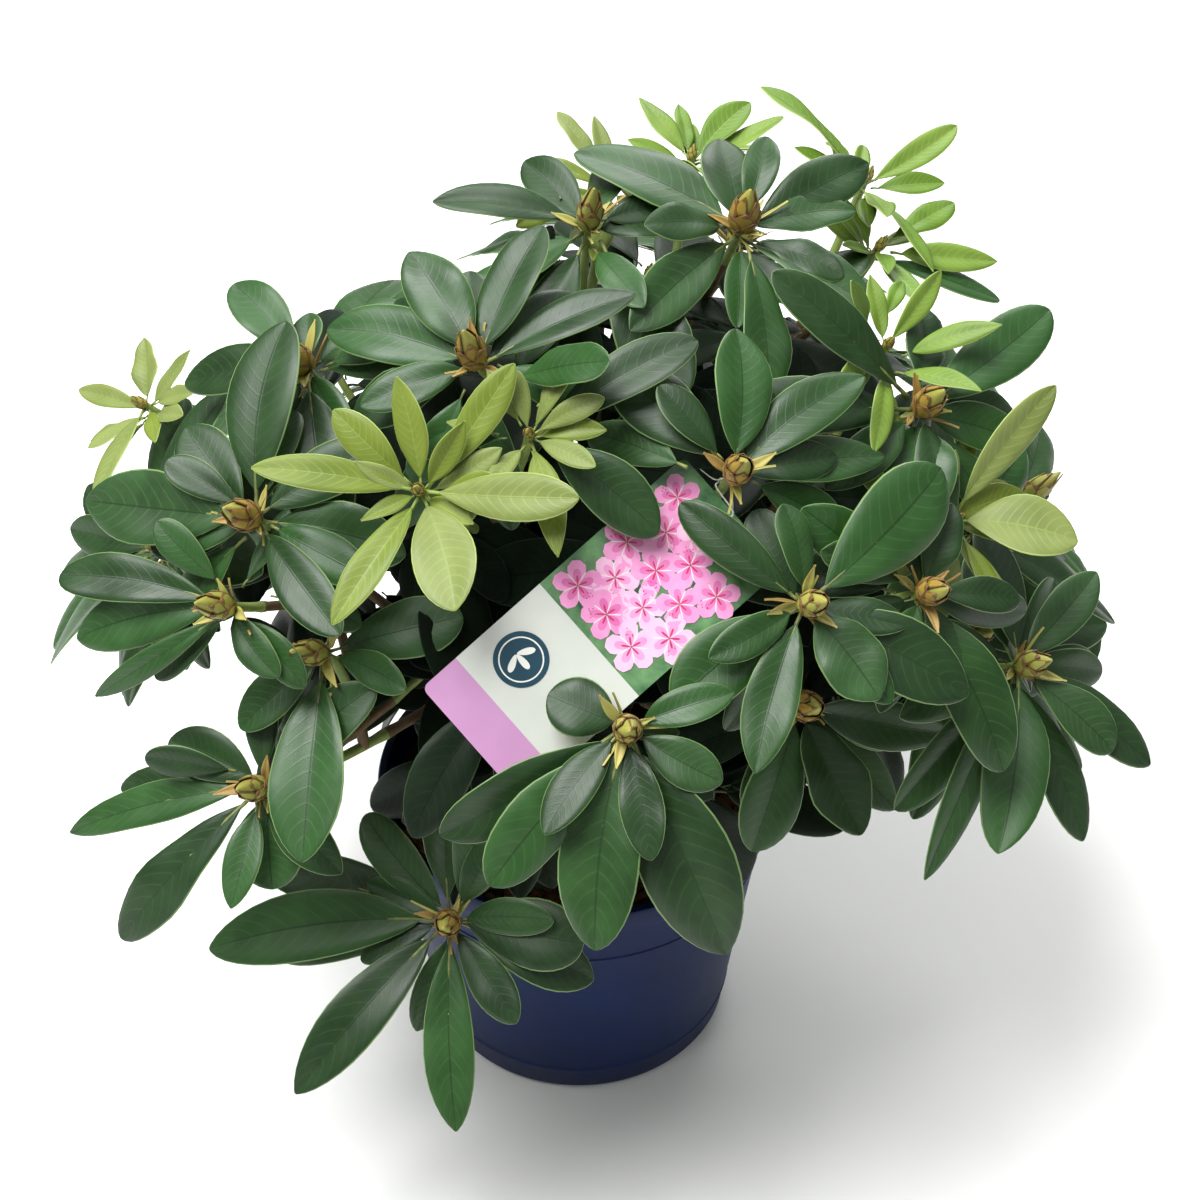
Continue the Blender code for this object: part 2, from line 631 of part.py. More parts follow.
def tube(name, path, radii, collection, finish, resolution=0, closed=False):
    """A tapering tube along a path, as a mesh with welded caps."""
    curve = bpy.data.curves.new(name, "CURVE")
    curve.dimensions = "3D"
    curve.bevel_depth = 1.0
    curve.bevel_resolution = resolution
    curve.use_fill_caps = not closed
    spline = curve.splines.new("POLY")
    spline.points.add(len(path) - 1)
    spline.use_cyclic_u = closed
    for point, place, radius in zip(spline.points, path, radii):
        point.co = (*place, 1)
        point.radius = radius
    guide = bpy.data.objects.new(name + "_guide", curve)
    collection.objects.link(guide)
    bpy.context.view_layer.update()
    graph = bpy.context.evaluated_depsgraph_get()
    mesh = bpy.data.meshes.new_from_object(guide.evaluated_get(graph))
    bpy.data.objects.remove(guide, do_unlink=True)
    shape = bmesh.new()
    shape.from_mesh(mesh)
    bmesh.ops.remove_doubles(shape, verts=shape.verts, dist=0.000001)
    bmesh.ops.recalc_face_normals(shape, faces=shape.faces)
    shape.to_mesh(mesh)
    shape.free()
    return add_object(name, mesh, collection, finish)


def move_to(thing, collection):
    for other in list(thing.users_collection):
        other.objects.unlink(thing)
    collection.objects.link(thing)


def as_cutter(thing, name, collection):
    thing.name = name
    thing.hide_render = True
    thing.display_type = "WIRE"
    move_to(thing, collection)


def round_off(thing):
    thing.data.shade_smooth()
    thing.data.set_sharp_from_angle(angle=math.radians(40))


def one_body(mesh):
    """Keeps the largest loose piece of a fused mesh, and drops scraps and sealed hollows."""
    shape = bmesh.new()
    shape.from_mesh(mesh)
    islands, seen = [], set()
    for start in shape.verts:
        if start in seen:
            continue
        island, edge = [], [start]
        seen.add(start)
        while edge:
            here = edge.pop()
            island.append(here)
            for link in here.link_edges:
                other = link.other_vert(here)
                if other not in seen:
                    seen.add(other)
                    edge.append(other)
        islands.append(island)
    islands.sort(key=len)
    scraps = [vert for island in islands[:-1] for vert in island]
    bmesh.ops.delete(shape, geom=scraps, context="VERTS")
    bmesh.ops.triangulate(shape, faces=shape.faces)
    shape.to_mesh(mesh)
    shape.free()


# ---- Pot, soil, label ---------------------------------------------------------------------------


def make_pot(collection, cutters):
    """A tapered nursery pot with a rolled lip, a flat underside and a ring of drainage holes."""
    finish = material("pot_blue_plastic", POT_BLUE, 0.42)
    rim, lip = POT_RIM_RADIUS, POT_RIM_RADIUS + POT_LIP_PROUD
    under_lip = POT_HEIGHT - POT_LIP_HEIGHT
    slope = (POT_RIM_RADIUS - POT_BASE_RADIUS) / POT_HEIGHT
    profile = [
        (rim - POT_WALL, POT_HEIGHT - 0.001),
        (rim - POT_WALL + 0.001, POT_HEIGHT),
        (lip - 0.001, POT_HEIGHT),
        (lip, POT_HEIGHT - 0.0015),
        (lip, under_lip + 0.001),
        (rim - slope * POT_LIP_HEIGHT, under_lip - 0.001),
        (POT_BASE_RADIUS + slope * 0.006, 0.006),
        (POT_BASE_RADIUS - 0.003, 0.0),
        (0.0, 0.0),
        (0.0, POT_WALL),
        (POT_BASE_RADIUS - POT_WALL - 0.002, POT_WALL),
        (rim - POT_WALL, POT_HEIGHT - 0.001),
    ]
    pot = turned("pot", profile, POT_STEPS, collection, finish)
    for hole in range(POT_HOLES):
        turn = 2 * math.pi * (hole + 0.5) / POT_HOLES
        place = (POT_HOLE_RING * math.cos(turn), POT_HOLE_RING * math.sin(turn), POT_WALL / 2)
        bpy.ops.mesh.primitive_cylinder_add(
            vertices=8, radius=POT_HOLE_RADIUS, depth=POT_WALL * 4, location=place)
        as_cutter(bpy.context.object, f"drain_cutter_{hole + 1}", cutters)
    drain = pot.modifiers.new("drain", "BOOLEAN")
    drain.operand_type = "COLLECTION"
    drain.collection = cutters
    drain.operation = "DIFFERENCE"
    drain.solver = "EXACT"
    round_off(pot)
    return pot


def make_soil(collection):
    """The compost that fills the pot, a hair clear of its wall, with a low crown at the stem."""
    finish = material("soil_brown_bark", SOIL_BROWN, 0.95)
    slope = (POT_RIM_RADIUS - POT_BASE_RADIUS) / POT_HEIGHT
    foot = POT_WALL + GAP
    inner = POT_BASE_RADIUS - POT_WALL - 0.002 - GAP
    edge = POT_RIM_RADIUS - POT_WALL - slope * (POT_HEIGHT - SOIL_LEVEL) - 0.0012
    profile = [
        (0.0, SOIL_LEVEL + SOIL_CROWN),
        (0.026, SOIL_LEVEL + SOIL_CROWN),
        (0.052, SOIL_LEVEL + 0.003),
        (0.085, SOIL_LEVEL + 0.001),
        (edge, SOIL_LEVEL - 0.003),
        (inner, foot),
        (0.0, foot),
    ]
    soil = turned("soil", profile, POT_STEPS, collection, finish)
    round_off(soil)
    return soil


def make_label(collection, cutters):
    """A plastic card, slightly bowed, with a punched hole near its upper end."""
    finish = material("label_white_card", CARD_WHITE, 0.35)
    bpy.ops.mesh.primitive_grid_add(x_subdivisions=8, y_subdivisions=1, size=2)
    label = bpy.context.object
    label.name = "plant_label"
    for vert in label.data.vertices:
        vert.co = label_place(vert.co.x, vert.co.y)
    move_to(label, collection)
    label.data.materials.append(finish)
    shell = label.modifiers.new("card", "SOLIDIFY")
    shell.thickness = LABEL_THICKNESS
    shell.offset = 0
    hole = label_hole()
    face = (label_place(0.9, 0, 1) - label_place(0.9, 0)).normalized()
    bpy.ops.mesh.primitive_cylinder_add(vertices=12, radius=LABEL_HOLE_RADIUS, depth=0.02, location=hole)
    punch = bpy.context.object
    punch.rotation_euler = face.to_track_quat("Z", "Y").to_euler()
    as_cutter(punch, "hole_cutter", cutters)
    cut = label.modifiers.new("hole", "BOOLEAN")
    cut.object = punch
    cut.operation = "DIFFERENCE"
    cut.solver = "EXACT"
    return label


def make_tie(path, collection):
    finish = material("tie_clear_plastic", (0.62, 0.66, 0.62), 0.3)
    return tube("label_tie", path, [TIE_RADIUS] * len(path), collection, finish, closed=True)


# ---- Limbs and foliage --------------------------------------------------------------------------


def make_limbs(limbs, collection, helpers):
    """The main stem, then each bough with its root cut to the limbs before it, GAP clear."""
    bark = material("bark_brown", BARK_BROWN, 0.85)
    for name, (path, radii) in limbs.items():
        node = "main_stem" if name == "stem" else "bough_" + name
        limb = tube(node, path, radii, collection, bark, LIMB_ROUNDNESS)
        if helpers.objects:
            cut = limb.modifiers.new("root", "BOOLEAN")
            cut.operand_type = "COLLECTION"
            cut.collection = helpers
            cut.operation = "DIFFERENCE"
            cut.solver = "MANIFOLD"
            one_body(applied(limb))
        round_off(limb)
        first, last = (path[1] - path[0]).normalized(), (path[-1] - path[-2]).normalized()
        longer = [path[0] - first * GAP] + path[1:-1] + [path[-1] + last * GAP]
        fat = [radius + GAP * 1.3 for radius in radii]
        tube(name + "_clearance", longer, fat, helpers, bark, LIMB_ROUNDNESS)
    for helper in list(helpers.objects):
        bpy.data.objects.remove(helper, do_unlink=True)


def blade_templates():
    """The double cones that every leaf starts from, with 6 and with 4 sides: ring, top, bottom."""
    made = {}
    for sides in (6, 4):
        shape = bmesh.new()
        ring = bmesh.ops.create_circle(shape, cap_ends=False, segments=sides, radius=1)["verts"]
        for height in (1, -1):
            pole = shape.verts.new((0, 0, height))
            for corner in range(sides):
                shape.faces.new((ring[corner], ring[(corner + 1) % sides], pole))
        bmesh.ops.recalc_face_normals(shape, faces=shape.faces)
        made[sides] = bpy.data.meshes.new("blade")
        shape.to_mesh(made[sides])
        shape.free()
    return made


def leaf_object(leaf, templates, helpers, finish):
    """A double cone flattened to the leaf's outline, with 12 faces on a leaf set by hand, else 8."""
    sides = 6 if leaf.by_hand else 4
    mesh = templates[sides].copy()
    cage = leaf.cage(sides)
    for vert, spot in zip(mesh.vertices, cage):
        vert.co = spot
    shape = bmesh.new()
    shape.from_mesh(mesh)
    bmesh.ops.recalc_face_normals(shape, faces=shape.faces)
    shape.to_mesh(mesh)
    shape.free()
    return add_object("leaf", mesh, helpers, finish)


def make_mass(name, twigs, buds, leaves, templates, collection, helpers, finish):
    """One mass: its twigs, buds and leaves, joined by one union."""
    own = [twig for twig in twigs if twig.mass == name]
    body = tube("foliage_" + name, own[0].path, own[0].radii, collection, finish)
    for twig in own[1:]:
        tube("twig", twig.path, twig.radii, helpers, finish)
    for bud in buds:
        if bud.mass == name:
            size = 1.0 if bud.kind == "mature" else 0.7
            ends = [bud.tip + bud.axis * far for far in (-0.014, 0.002, BUD_LENGTH * 0.85 * size)]
            tube("bud", ends, (COLLAR_RADIUS * 0.85, COLLAR_RADIUS * 1.15, 0.0012), helpers, finish)
    for leaf in leaves:
        if leaf.mass == name:
            leaf_object(leaf, templates, helpers, finish)
    join = body.modifiers.new("fuse", "BOOLEAN")
    join.operand_type = "COLLECTION"
    join.collection = helpers
    join.operation = "UNION"
    join.solver = "MANIFOLD"
    one_body(applied(body))
    for helper in list(helpers.objects):
        bpy.data.objects.remove(helper, do_unlink=True)
    return body


def main():
    clear_scene()
    parts = new_collection("potted_rhododendron")
    cutters = new_collection("drain_cutters")
    punches = new_collection("label_cutters")
    helpers = new_collection("helpers")
    limbs, twigs, buds, leaves, loop = grow()
    make_limbs(limbs, parts, helpers)
    green = material("foliage_green", FOLIAGE_GREEN, 0.45)
    pale = material("foliage_pale_green", PALE_GREEN, 0.55)
    templates = blade_templates()
    for name in BOUGHS:
        kinds = [whorl.kind for whorl in WHORLS if whorl.mass == name]
        finish = pale if kinds.count("pale") * 2 > len(kinds) else green
        make_mass(name, twigs, buds, leaves, templates, parts, helpers, finish)
    make_pot(parts, cutters)
    make_soil(parts)
    make_label(parts, punches)
    make_tie(loop, parts)


if __name__ == "__main__":
    main()
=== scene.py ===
import math
import random
from collections import namedtuple
from contextlib import contextmanager
from itertools import product

import bpy
import numpy as np
from mathutils import Matrix, Vector, noise
from mathutils.bvhtree import BVHTree


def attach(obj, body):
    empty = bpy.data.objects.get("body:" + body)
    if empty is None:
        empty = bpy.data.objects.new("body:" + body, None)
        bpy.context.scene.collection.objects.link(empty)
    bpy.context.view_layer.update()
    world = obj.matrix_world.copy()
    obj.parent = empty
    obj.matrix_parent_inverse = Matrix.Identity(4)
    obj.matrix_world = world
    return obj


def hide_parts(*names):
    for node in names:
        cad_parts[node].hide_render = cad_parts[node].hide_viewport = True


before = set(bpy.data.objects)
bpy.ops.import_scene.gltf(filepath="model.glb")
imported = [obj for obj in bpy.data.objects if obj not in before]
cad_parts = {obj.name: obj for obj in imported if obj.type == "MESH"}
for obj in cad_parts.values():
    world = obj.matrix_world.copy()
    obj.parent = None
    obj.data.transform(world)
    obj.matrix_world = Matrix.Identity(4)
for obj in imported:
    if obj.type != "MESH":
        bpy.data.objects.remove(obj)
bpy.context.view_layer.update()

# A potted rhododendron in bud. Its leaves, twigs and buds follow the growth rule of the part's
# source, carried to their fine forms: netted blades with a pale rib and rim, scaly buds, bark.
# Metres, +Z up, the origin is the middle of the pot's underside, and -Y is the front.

# ---- The plant's plan, the same as in the part's source -------------------------------------------

POT_HEIGHT = 0.205
POT_RIM_RADIUS = 0.130
POT_BASE_RADIUS = 0.103
POT_WALL = 0.0024
POT_LIP_HEIGHT = 0.016
POT_LIP_PROUD = 0.0035
POT_HOLES = 8
POT_HOLE_RADIUS = 0.0075
POT_HOLE_RING = 0.078

SOIL_LEVEL = 0.187
SOIL_CROWN = 0.006
GAP = 0.0003

STEM_FOOT = Vector((0.002, 0.004, SOIL_LEVEL + SOIL_CROWN + GAP))
STEM_FORK = Vector((0.006, 0.000, 0.268))
STEM_RADII = (0.0165, 0.0130, 0.0120, 0.0117, 0.0115)
STEM_BEND = Vector((-0.003, 0.002, 0))

# Boughs that spring from the stem, and then those that spring from another: their radii at both
# ends, how far they reach to the middle of their mass, and how far they bend up.
BOUGH_RADII = ((0.0085, 0.0055), (0.0062, 0.0040))
BOUGH_REACH = (0.50, 0.58)
BOUGH_BEND = (-0.012, 0.004)
TWIG_RADII = (0.0034, 0.0025)
TWIG_CLEARANCE = (0.0046, 0.0037)
# A mass's stem runs straight on from its bough for this far.
STEM_LEAD = 0.008

CROWN_CENTRE = Vector((0.010, 0.000, 0.395))
CROWN_REACH = Vector((0.283, 0.249, 0.215))
LOWEST_WHORL = 0.262
SHOULDER_MARGIN = 0.045
LOWEST_LEAF = 0.045

LABEL_LENGTH = 0.185
LABEL_WIDTH = 0.079
LABEL_THICKNESS = 0.0009
LABEL_BOW = 0.006
LABEL_MIDDLE = Vector((0.0135, -0.179, 0.481))
# Which way the card runs, from its foot to its hole, and about which way it faces.
LABEL_WAY = Vector((0.755, 0.420, 0.504))
LABEL_FACE = Vector((0.0, -0.765, 0.644))
LABEL_HOLE_RADIUS = 0.0022
LABEL_HOLE_INSET = 0.008
TIE_RADIUS = 0.0009
# The whorl whose twig carries the loop, how far down that twig it hangs, how far the loop bows off
# the card, and how far above the hole it does so.
TIE_TWIG = (0.082, -0.148, 0.559)
TIE_SHARE = 0.14
TIE_BOW = 0.0028
TIE_RISE = 0.0022

BUD_LENGTH = 0.027
BUD_RADIUS = 0.0062
COLLAR_RADIUS = 0.0046
LEAF_THICKNESS = 0.0016
# The share of a leaf at which it leaves the crowd round its bud, and that of its highest point.
LEAF_ROOT = 0.11
LEAF_PEAK = 0.56
SEED = 41

UP = Vector((0, 0, 1))
LOOK_UP = Vector((0, 0.64, 0.77))
LIGHT = Vector((0, -0.40, 0.92))
# How far a shoot leans outwards, and how far to the light.
OUTWARD_LEAN = 0.60
LIGHT_LEAN = 0.80
# A leaf sags away from its face and down, in these shares.
SAG_BACK = 0.6
SAG_DOWN = 0.4

# ---- The crown's plan ---------------------------------------------------------------------------

# Each bough and where it springs from: (parent, how far along the parent).
BOUGHS = {
    "front": ("stem", 1.0),
    "left": ("stem", 1.0),
    "back": ("stem", 1.0),
    "right": ("stem", 1.0),
    "top": ("stem", 1.0),
    "front_low": ("front", 0.45),
    "front_left": ("front", 0.75),
    "left_low": ("left", 0.50),
    "left_crest": ("left", 0.75),
    "right_low": ("right", 0.40),
    "right_reach": ("right", 0.70),
    "right_high": ("right", 0.55),
    "centre": ("top", 0.45),
    "top_left": ("top", 0.60),
    "top_right": ("top", 0.80),
    "back_left": ("back", 0.50),
    "back_right": ("back", 0.75),
    "back_low": ("back", 0.35),
}

# Whorls listed one by one. Each has its mass, the place of its bud, its kind, and its leaves as
# (bearing, length, width): degrees clockwise from upright as seen from the front, and millimetres.
# A leaf of another kind than its whorl says so last.
Whorl = namedtuple("Whorl", "mass tip kind leaves")
WHORLS = [
    Whorl("front_low", (-0.076, -0.192, 0.269), "mature",
          ((266, 147, 42), (229, 127, 34), (178, 114, 30), (283, 125, 34), (320, 82, 28),
           (0, 98, 34), (26, 88, 28), (96, 78, 42), (108, 86, 34), (252, 112, 30))),
    Whorl("front", (0.025, -0.236, 0.462), "mature",
          ((190, 108, 44), (156, 122, 51), (217, 102, 38), (242, 106, 34), (296, 42, 32),
           (122, 52, 26), (92, 26, 10))),
    Whorl("front_left", (-0.081, -0.150, 0.551), "pale",
          ((278, 86, 20), (309, 60, 22), (350, 62, 18), (38, 84, 20), (62, 48, 14),
           (95, 92, 26), (158, 72, 34), (210, 82, 20), (120, 34, 14))),
    Whorl("front_left", (-0.024, -0.133, 0.574), "pale",
          ((319, 50, 13), (350, 34, 10), (34, 50, 11), (86, 40, 12), (57, 102, 28, "mature"),
           (262, 56, 18, "mature"), (120, 78, 34, "mature"))),
    Whorl("left", (-0.173, -0.127, 0.516), "mature",
          ((279, 108, 42), (11, 114, 44), (315, 72, 34), (99, 82, 34), (258, 66, 26),
           (60, 84, 30))),
    Whorl("left", (-0.188, -0.151, 0.475), "mature",
          ((283, 102, 28), (263, 96, 34), (243, 94, 14), (19, 64, 18), (312, 74, 30),
           (140, 44, 20))),
    Whorl("left_low", (-0.177, -0.183, 0.370), "mature",
          ((229, 117, 30), (262, 124, 24), (297, 62, 30), (175, 52, 40), (268, 92, 22),
           (2, 62, 20), (132, 62, 28))),
    Whorl("left_low", (-0.140, -0.150, 0.440), "mature",
          ((184, 108, 44), (72, 80, 34), (232, 60, 26))),
    Whorl("left_crest", (-0.258, 0.032, 0.480), "pale",
          ((346, 44, 20), (52, 48, 14), (282, 60, 14), (222, 42, 14), (104, 48, 14))),
    Whorl("left_crest", (-0.150, -0.040, 0.556), "mature",
          ((318, 70, 28), (272, 80, 30), (350, 36, 20), (48, 64, 26), (90, 84, 32))),
    Whorl("centre", (0.082, -0.148, 0.559), "mature",
          ((5, 82, 34), (313, 86, 38), (50, 92, 30), (73, 86, 28), (100, 66, 26))),
    Whorl("right", (0.119, -0.191, 0.506), "mature",
          ((45, 108, 46), (312, 84, 24), (334, 56, 24), (237, 80, 38), (116, 96, 40),
           (142, 57, 36))),
    Whorl("right", (0.185, -0.163, 0.490), "mature",
          ((210, 60, 24), (20, 52, 22), (96, 66, 24))),
    Whorl("right_high", (0.189, -0.076, 0.549), "mature",
          ((315, 122, 30), (52, 104, 34), (7, 70, 34), (101, 70, 28), (186, 58, 40),
           (207, 112, 44))),
    Whorl("right_high", (0.171, -0.050, 0.572), "pale",
          ((350, 40, 12), (40, 56, 14), (300, 36, 12))),
    Whorl("right_reach", (0.251, -0.131, 0.409), "mature",
          ((351, 86, 30), (44, 80, 26), (92, 62, 24), (128, 96, 34), (157, 100, 28),
           (200, 102, 38), (213, 128, 28), (255, 86, 30), (222, 104, 32), (172, 70, 30))),
    Whorl("right_reach", (0.207, -0.111, 0.500), "pale",
          ((36, 92, 22), (104, 68, 38), (72, 46, 20), (10, 60, 18))),
    Whorl("front_low", (-0.030, -0.130, 0.330), "old",
          ((170, 66, 28), (215, 84, 32), (250, 80, 30), (130, 72, 30), (310, 70, 28))),
    Whorl("right_low", (0.070, -0.160, 0.345), "old",
          ((150, 60, 32), (186, 78, 32), (112, 84, 34), (222, 66, 28), (80, 70, 30))),
    Whorl("right_low", (0.126, -0.142, 0.391), "mature",
          ((198, 80, 38), (157, 76, 36), (165, 98, 36), (222, 74, 34), (130, 84, 32),
           (100, 86, 30))),
    Whorl("top_right", (0.176, 0.119, 0.580), "pale",
          ((316, 84, 26), (67, 76, 18), (90, 50, 16), (350, 36, 10), (20, 40, 12))),
    Whorl("top_right", (0.180, 0.070, 0.562), "pale",
          ((51, 74, 20), (85, 80, 22), (341, 38, 11), (105, 82, 24, "mature"),
           (300, 44, 14), (235, 66, 24, "mature"))),
    Whorl("top", (0.072, 0.136, 0.586), "pale",
          ((327, 52, 18), (46, 60, 20), (65, 68, 16), (290, 40, 12), (10, 36, 10),
           (110, 48, 16))),
    Whorl("top", (0.095, 0.025, 0.604), "mature",
          ((302, 104, 44), (358, 66, 34), (60, 94, 32), (226, 96, 32), (125, 86, 32),
           (270, 60, 26))),
    Whorl("top_left", (0.008, 0.020, 0.609), "mature",
          ((278, 86, 22), (325, 62, 26), (243, 82, 28), (82, 54, 26), (202, 80, 30),
           (20, 58, 24))),
    Whorl("top_left", (0.021, 0.085, 0.602), "pale",
          ((322, 50, 14), (350, 44, 12), (40, 40, 12), (285, 48, 14))),
    Whorl("top_left", (-0.052, -0.092, 0.592), "mature",
          ((330, 76, 34), (21, 86, 32), (290, 88, 34), (62, 92, 26), (250, 70, 30))),
    Whorl("back", (0.020, 0.236, 0.480), "mature", ()),
    Whorl("back_left", (-0.160, 0.155, 0.428), "mature", ()),
    Whorl("back_right", (0.176, 0.172, 0.432), "mature", ()),
    Whorl("back_low", (-0.030, 0.215, 0.330), "mature", ()),
]

# How each kind of leaf grows: its pitch from the whorl's axis, sag and fold, and its usual size.
Kind = namedtuple("Kind", "pitch sag fold length width count")
KINDS = {
    "mature": Kind(80, 0.20, 0.16, 0.098, 0.034, 8),
    "pale": Kind(66, 0.10, 0.20, 0.062, 0.017, 7),
    "old": Kind(92, 0.26, 0.12, 0.092, 0.035, 6),
    "bract": Kind(52, 0.04, 0.30, 0.018, 0.0055, 3),
}

# One side of the outline of 8 points that tells what a leaf touches, as (along, across).
HALF_OUTLINE = [(0.30, 1.00), (0.52, 1.12), (0.80, 0.90)]

# The rule that fills the crown: (kind, reach of the shell, spacing of its whorls, seeds tried).
SHELLS = (("mature", 0.96, 0.089, 150), ("old", 0.70, 0.076, 130))
# Shells of short inner shoots, and of small shoots between the large ones.
FINE_SHELLS = (("old", 0.52, 0.064, 110), ("mature", 0.84, 0.066, 170))
# A shell's whorls lie further out and in by this share, in waves of this turn from seed to seed.
SHELL_WAVE = 0.05
SHELL_TURN = 2.4

# Slopes that bound the crown, which is lower on its left: (direction, how far it reaches that way).
SHOULDERS = (
    ((-0.48, 0.41, 0.77), 0.505),
    ((0.72, 0.26, 0.64), 0.530),
    ((0.95, -0.05, 0.29), 0.425),
    ((-0.97, -0.18, 0.14), 0.372),
    ((0.03, 0.46, 0.89), 0.625),
)
# Below this height the rule sets no whorl on the crown's front, which starts at FRONT_EDGE.
OPEN_FRONT_HEIGHT = 0.40
FRONT_EDGE = -0.05

# Where the crown lets light through, as seen from VIEWER: (x, height, radius) on the plane through
# the pot's axis. Leaves that the rule sets keep out of these lines of sight.
VIEWER = Vector((0, -1.10, 1.26))
OPENINGS = (
    (-0.310, 0.228, 0.024), (-0.272, 0.257, 0.018), (-0.237, 0.269, 0.013), (-0.206, 0.286, 0.008),
    (-0.139, 0.220, 0.013), (-0.116, 0.237, 0.009), (-0.155, 0.186, 0.008), (-0.175, 0.125, 0.006),
    (-0.119, 0.367, 0.008), (-0.193, 0.351, 0.007), (-0.147, 0.320, 0.005), (-0.130, 0.519, 0.005),
    (0.060, 0.583, 0.006), (0.128, 0.564, 0.006), (0.174, 0.554, 0.007), (0.137, 0.434, 0.005),
    (0.215, 0.247, 0.006), (0.314, 0.412, 0.016), (0.304, 0.465, 0.016), (0.354, 0.348, 0.015),
    (-0.136, 0.593, 0.014), (-0.098, 0.621, 0.014), (-0.160, 0.573, 0.011),
)
OPENING_DEPTH = 0.36
OPENING_MARGIN = 0.012
# A line of sight is narrower at its near end and wider at its far end, by these shares.
OPENING_SPREAD = (0.78, 1.22)

# Where a twig may branch from its mass's stem, and how far below its tip it may bend, as shares.
BRANCH_SHARES = (0.24, 0.38, 0.52, 0.66)
BEND_SHARES = (0.42, 0.25, 0.62)
# Room that is kept round a bud: how far below its tip it starts, and its two radii.
BUD_FOOT = 0.012
BUD_ROOM = (BUD_RADIUS * 1.5, BUD_RADIUS * 0.7)

# Leaves that the rule adds to a whorl stay this far in bearing from those listed.
LEAST_APART = math.radians(34)
# Leaves sit in rings under the bud: the first ring's depth, the step to the next, and their number.
RING_DEPTH = 0.001
RING_STEP = 0.0022
RINGS = 5
# A leaf that touches something tries again, a bit turned, tilted and shorter each time.
TRIES = 11
TURN_STEP = math.radians(5)
TILT_STEP = math.radians(7)
SHRINK_STEP = 0.025
# How far the dice vary a leaf's pitch and roll in degrees, and its length and slimness as shares.
PITCH_SPREAD = (-7, 9)
ROLL_SPREAD = (-16, 16)
LENGTH_SPREAD = (0.80, 1.18)
WIDTH_SPREAD = (0.9, 1.1)
GAP_LENGTH_SPREAD = (0.52, 0.74)
GAP_WIDTH = 1.1
BRACT_SPREAD = (0.8, 1.5)
# Where the dice of each round of leaves start.
FILL_DICE, GAP_DICE, BRACT_DICE = 500, 900, 1500

Twig = namedtuple("Twig", "mass path radii")
Bud = namedtuple("Bud", "mass tip axis kind")
Obstacle = namedtuple("Obstacle", "owner middle reach tree")


def whorl_axis(tip):
    """A shoot leans outwards from the crown's middle and turns to the light, up and to the front."""
    outward = Vector([(tip[i] - CROWN_CENTRE[i]) / CROWN_REACH[i] ** 2 for i in range(3)])
    outward.normalize()
    return (OUTWARD_LEAN * Vector((outward.x, outward.y, 0)) + LIGHT_LEAN * LIGHT).normalized()


def within_shoulders(point, margin=0.0):
    """Whether a point keeps inside the slopes that bound the crown."""
    return all(Vector(slope).dot(point) < limit - margin for slope, limit in SHOULDERS)


def in_opening(point, margin):
    """Whether a point lies in a line of sight that stays open, or within the margin of it."""
    for x, height, radius in OPENINGS:
        line = (Vector((x, 0, height)) - VIEWER).normalized()
        if (point - VIEWER).cross(line).length < radius + margin:
            return True
    return False


class Leaf:
    """One leaf. place(along, across, over) turns leaf coordinates into a point of the crown:
    along runs 0 to 1 from root to tip, across -1 to 1, and over is metres above the blade."""

    def __init__(self, mass, kind, base, axis, bearing, pitch, length, width, roll, by_hand):
        rise = (LOOK_UP - axis * LOOK_UP.dot(axis)).normalized()
        spoke = rise * math.cos(bearing) + rise.cross(axis) * math.sin(bearing)
        self.mass, self.kind, self.base, self.by_hand = mass, kind, base, by_hand
        self.length, self.width = length, width
        self.heading = (spoke * math.sin(pitch) + axis * math.cos(pitch)).normalized()
        face = (axis - self.heading * axis.dot(self.heading)).normalized()
        side = self.heading.cross(face)
        self.face = face * math.cos(roll) + side * math.sin(roll)
        self.side = self.heading.cross(self.face)
        self.base += spoke * COLLAR_RADIUS * 0.5
        self.fall = (-SAG_BACK * self.face - SAG_DOWN * UP) * KINDS[kind].sag * length
        self.fold = KINDS[kind].fold

    def place(self, along, across, over):
        half = self.width / 2
        point = self.base + self.heading * (self.length * along) + self.fall * along ** 2
        lift = abs(across) * half * self.fold + over
        return point + self.side * (across * half) + self.face * lift

    def obstacle(self):
        """What other leaves keep clear of: a blade with a raised middle, from just past its root."""
        back = [(along, -across) for along, across in reversed(HALF_OUTLINE)]
        outline = [(LEAF_ROOT, 0), *HALF_OUTLINE, (1, 0), *back]
        points = [self.place(along, across, 0) for along, across in outline]
        points += [self.place(LEAF_PEAK, 0, over) for over in (LEAF_THICKNESS, -LEAF_THICKNESS)]
        faces = [(i, (i + 1) % 8, top) for i in range(8) for top in (8, 9)]
        return obstacle_of(id(self), points, faces)


def obstacle_of(owner, points, faces):
    middle = sum(points, Vector()) / len(points)
    reach = max((point - middle).length for point in points)
    return Obstacle(owner, middle, reach, BVHTree.FromPolygons(points, faces))


def bezier(start, control, end, steps):
    """Points of a quadratic curve from start to end."""
    times = [step / steps for step in range(steps + 1)]
    return [start * (1 - t) ** 2 + control * (2 * t * (1 - t)) + end * t ** 2 for t in times]


def smooth_stretch(before, start, end, beyond, steps):
    """Points from start up to end of a smooth curve that comes from before and goes on to beyond."""
    points = []
    for step in range(steps):
        t = step / steps
        points.append(0.5 * (2 * start + (end - before) * t
                             + (2 * before - 5 * start + 4 * end - beyond) * t ** 2
                             + (3 * start - before - 3 * end + beyond) * t ** 3))
    return points


def smooth_loop(corners, steps):
    """Points of a closed curve that runs smoothly through every corner."""
    points = []
    for here, corner in enumerate(corners):
        after, beyond = (corners[(here + step) % len(corners)] for step in (1, 2))
        points += smooth_stretch(corners[here - 1], corner, after, beyond, steps)
    return points


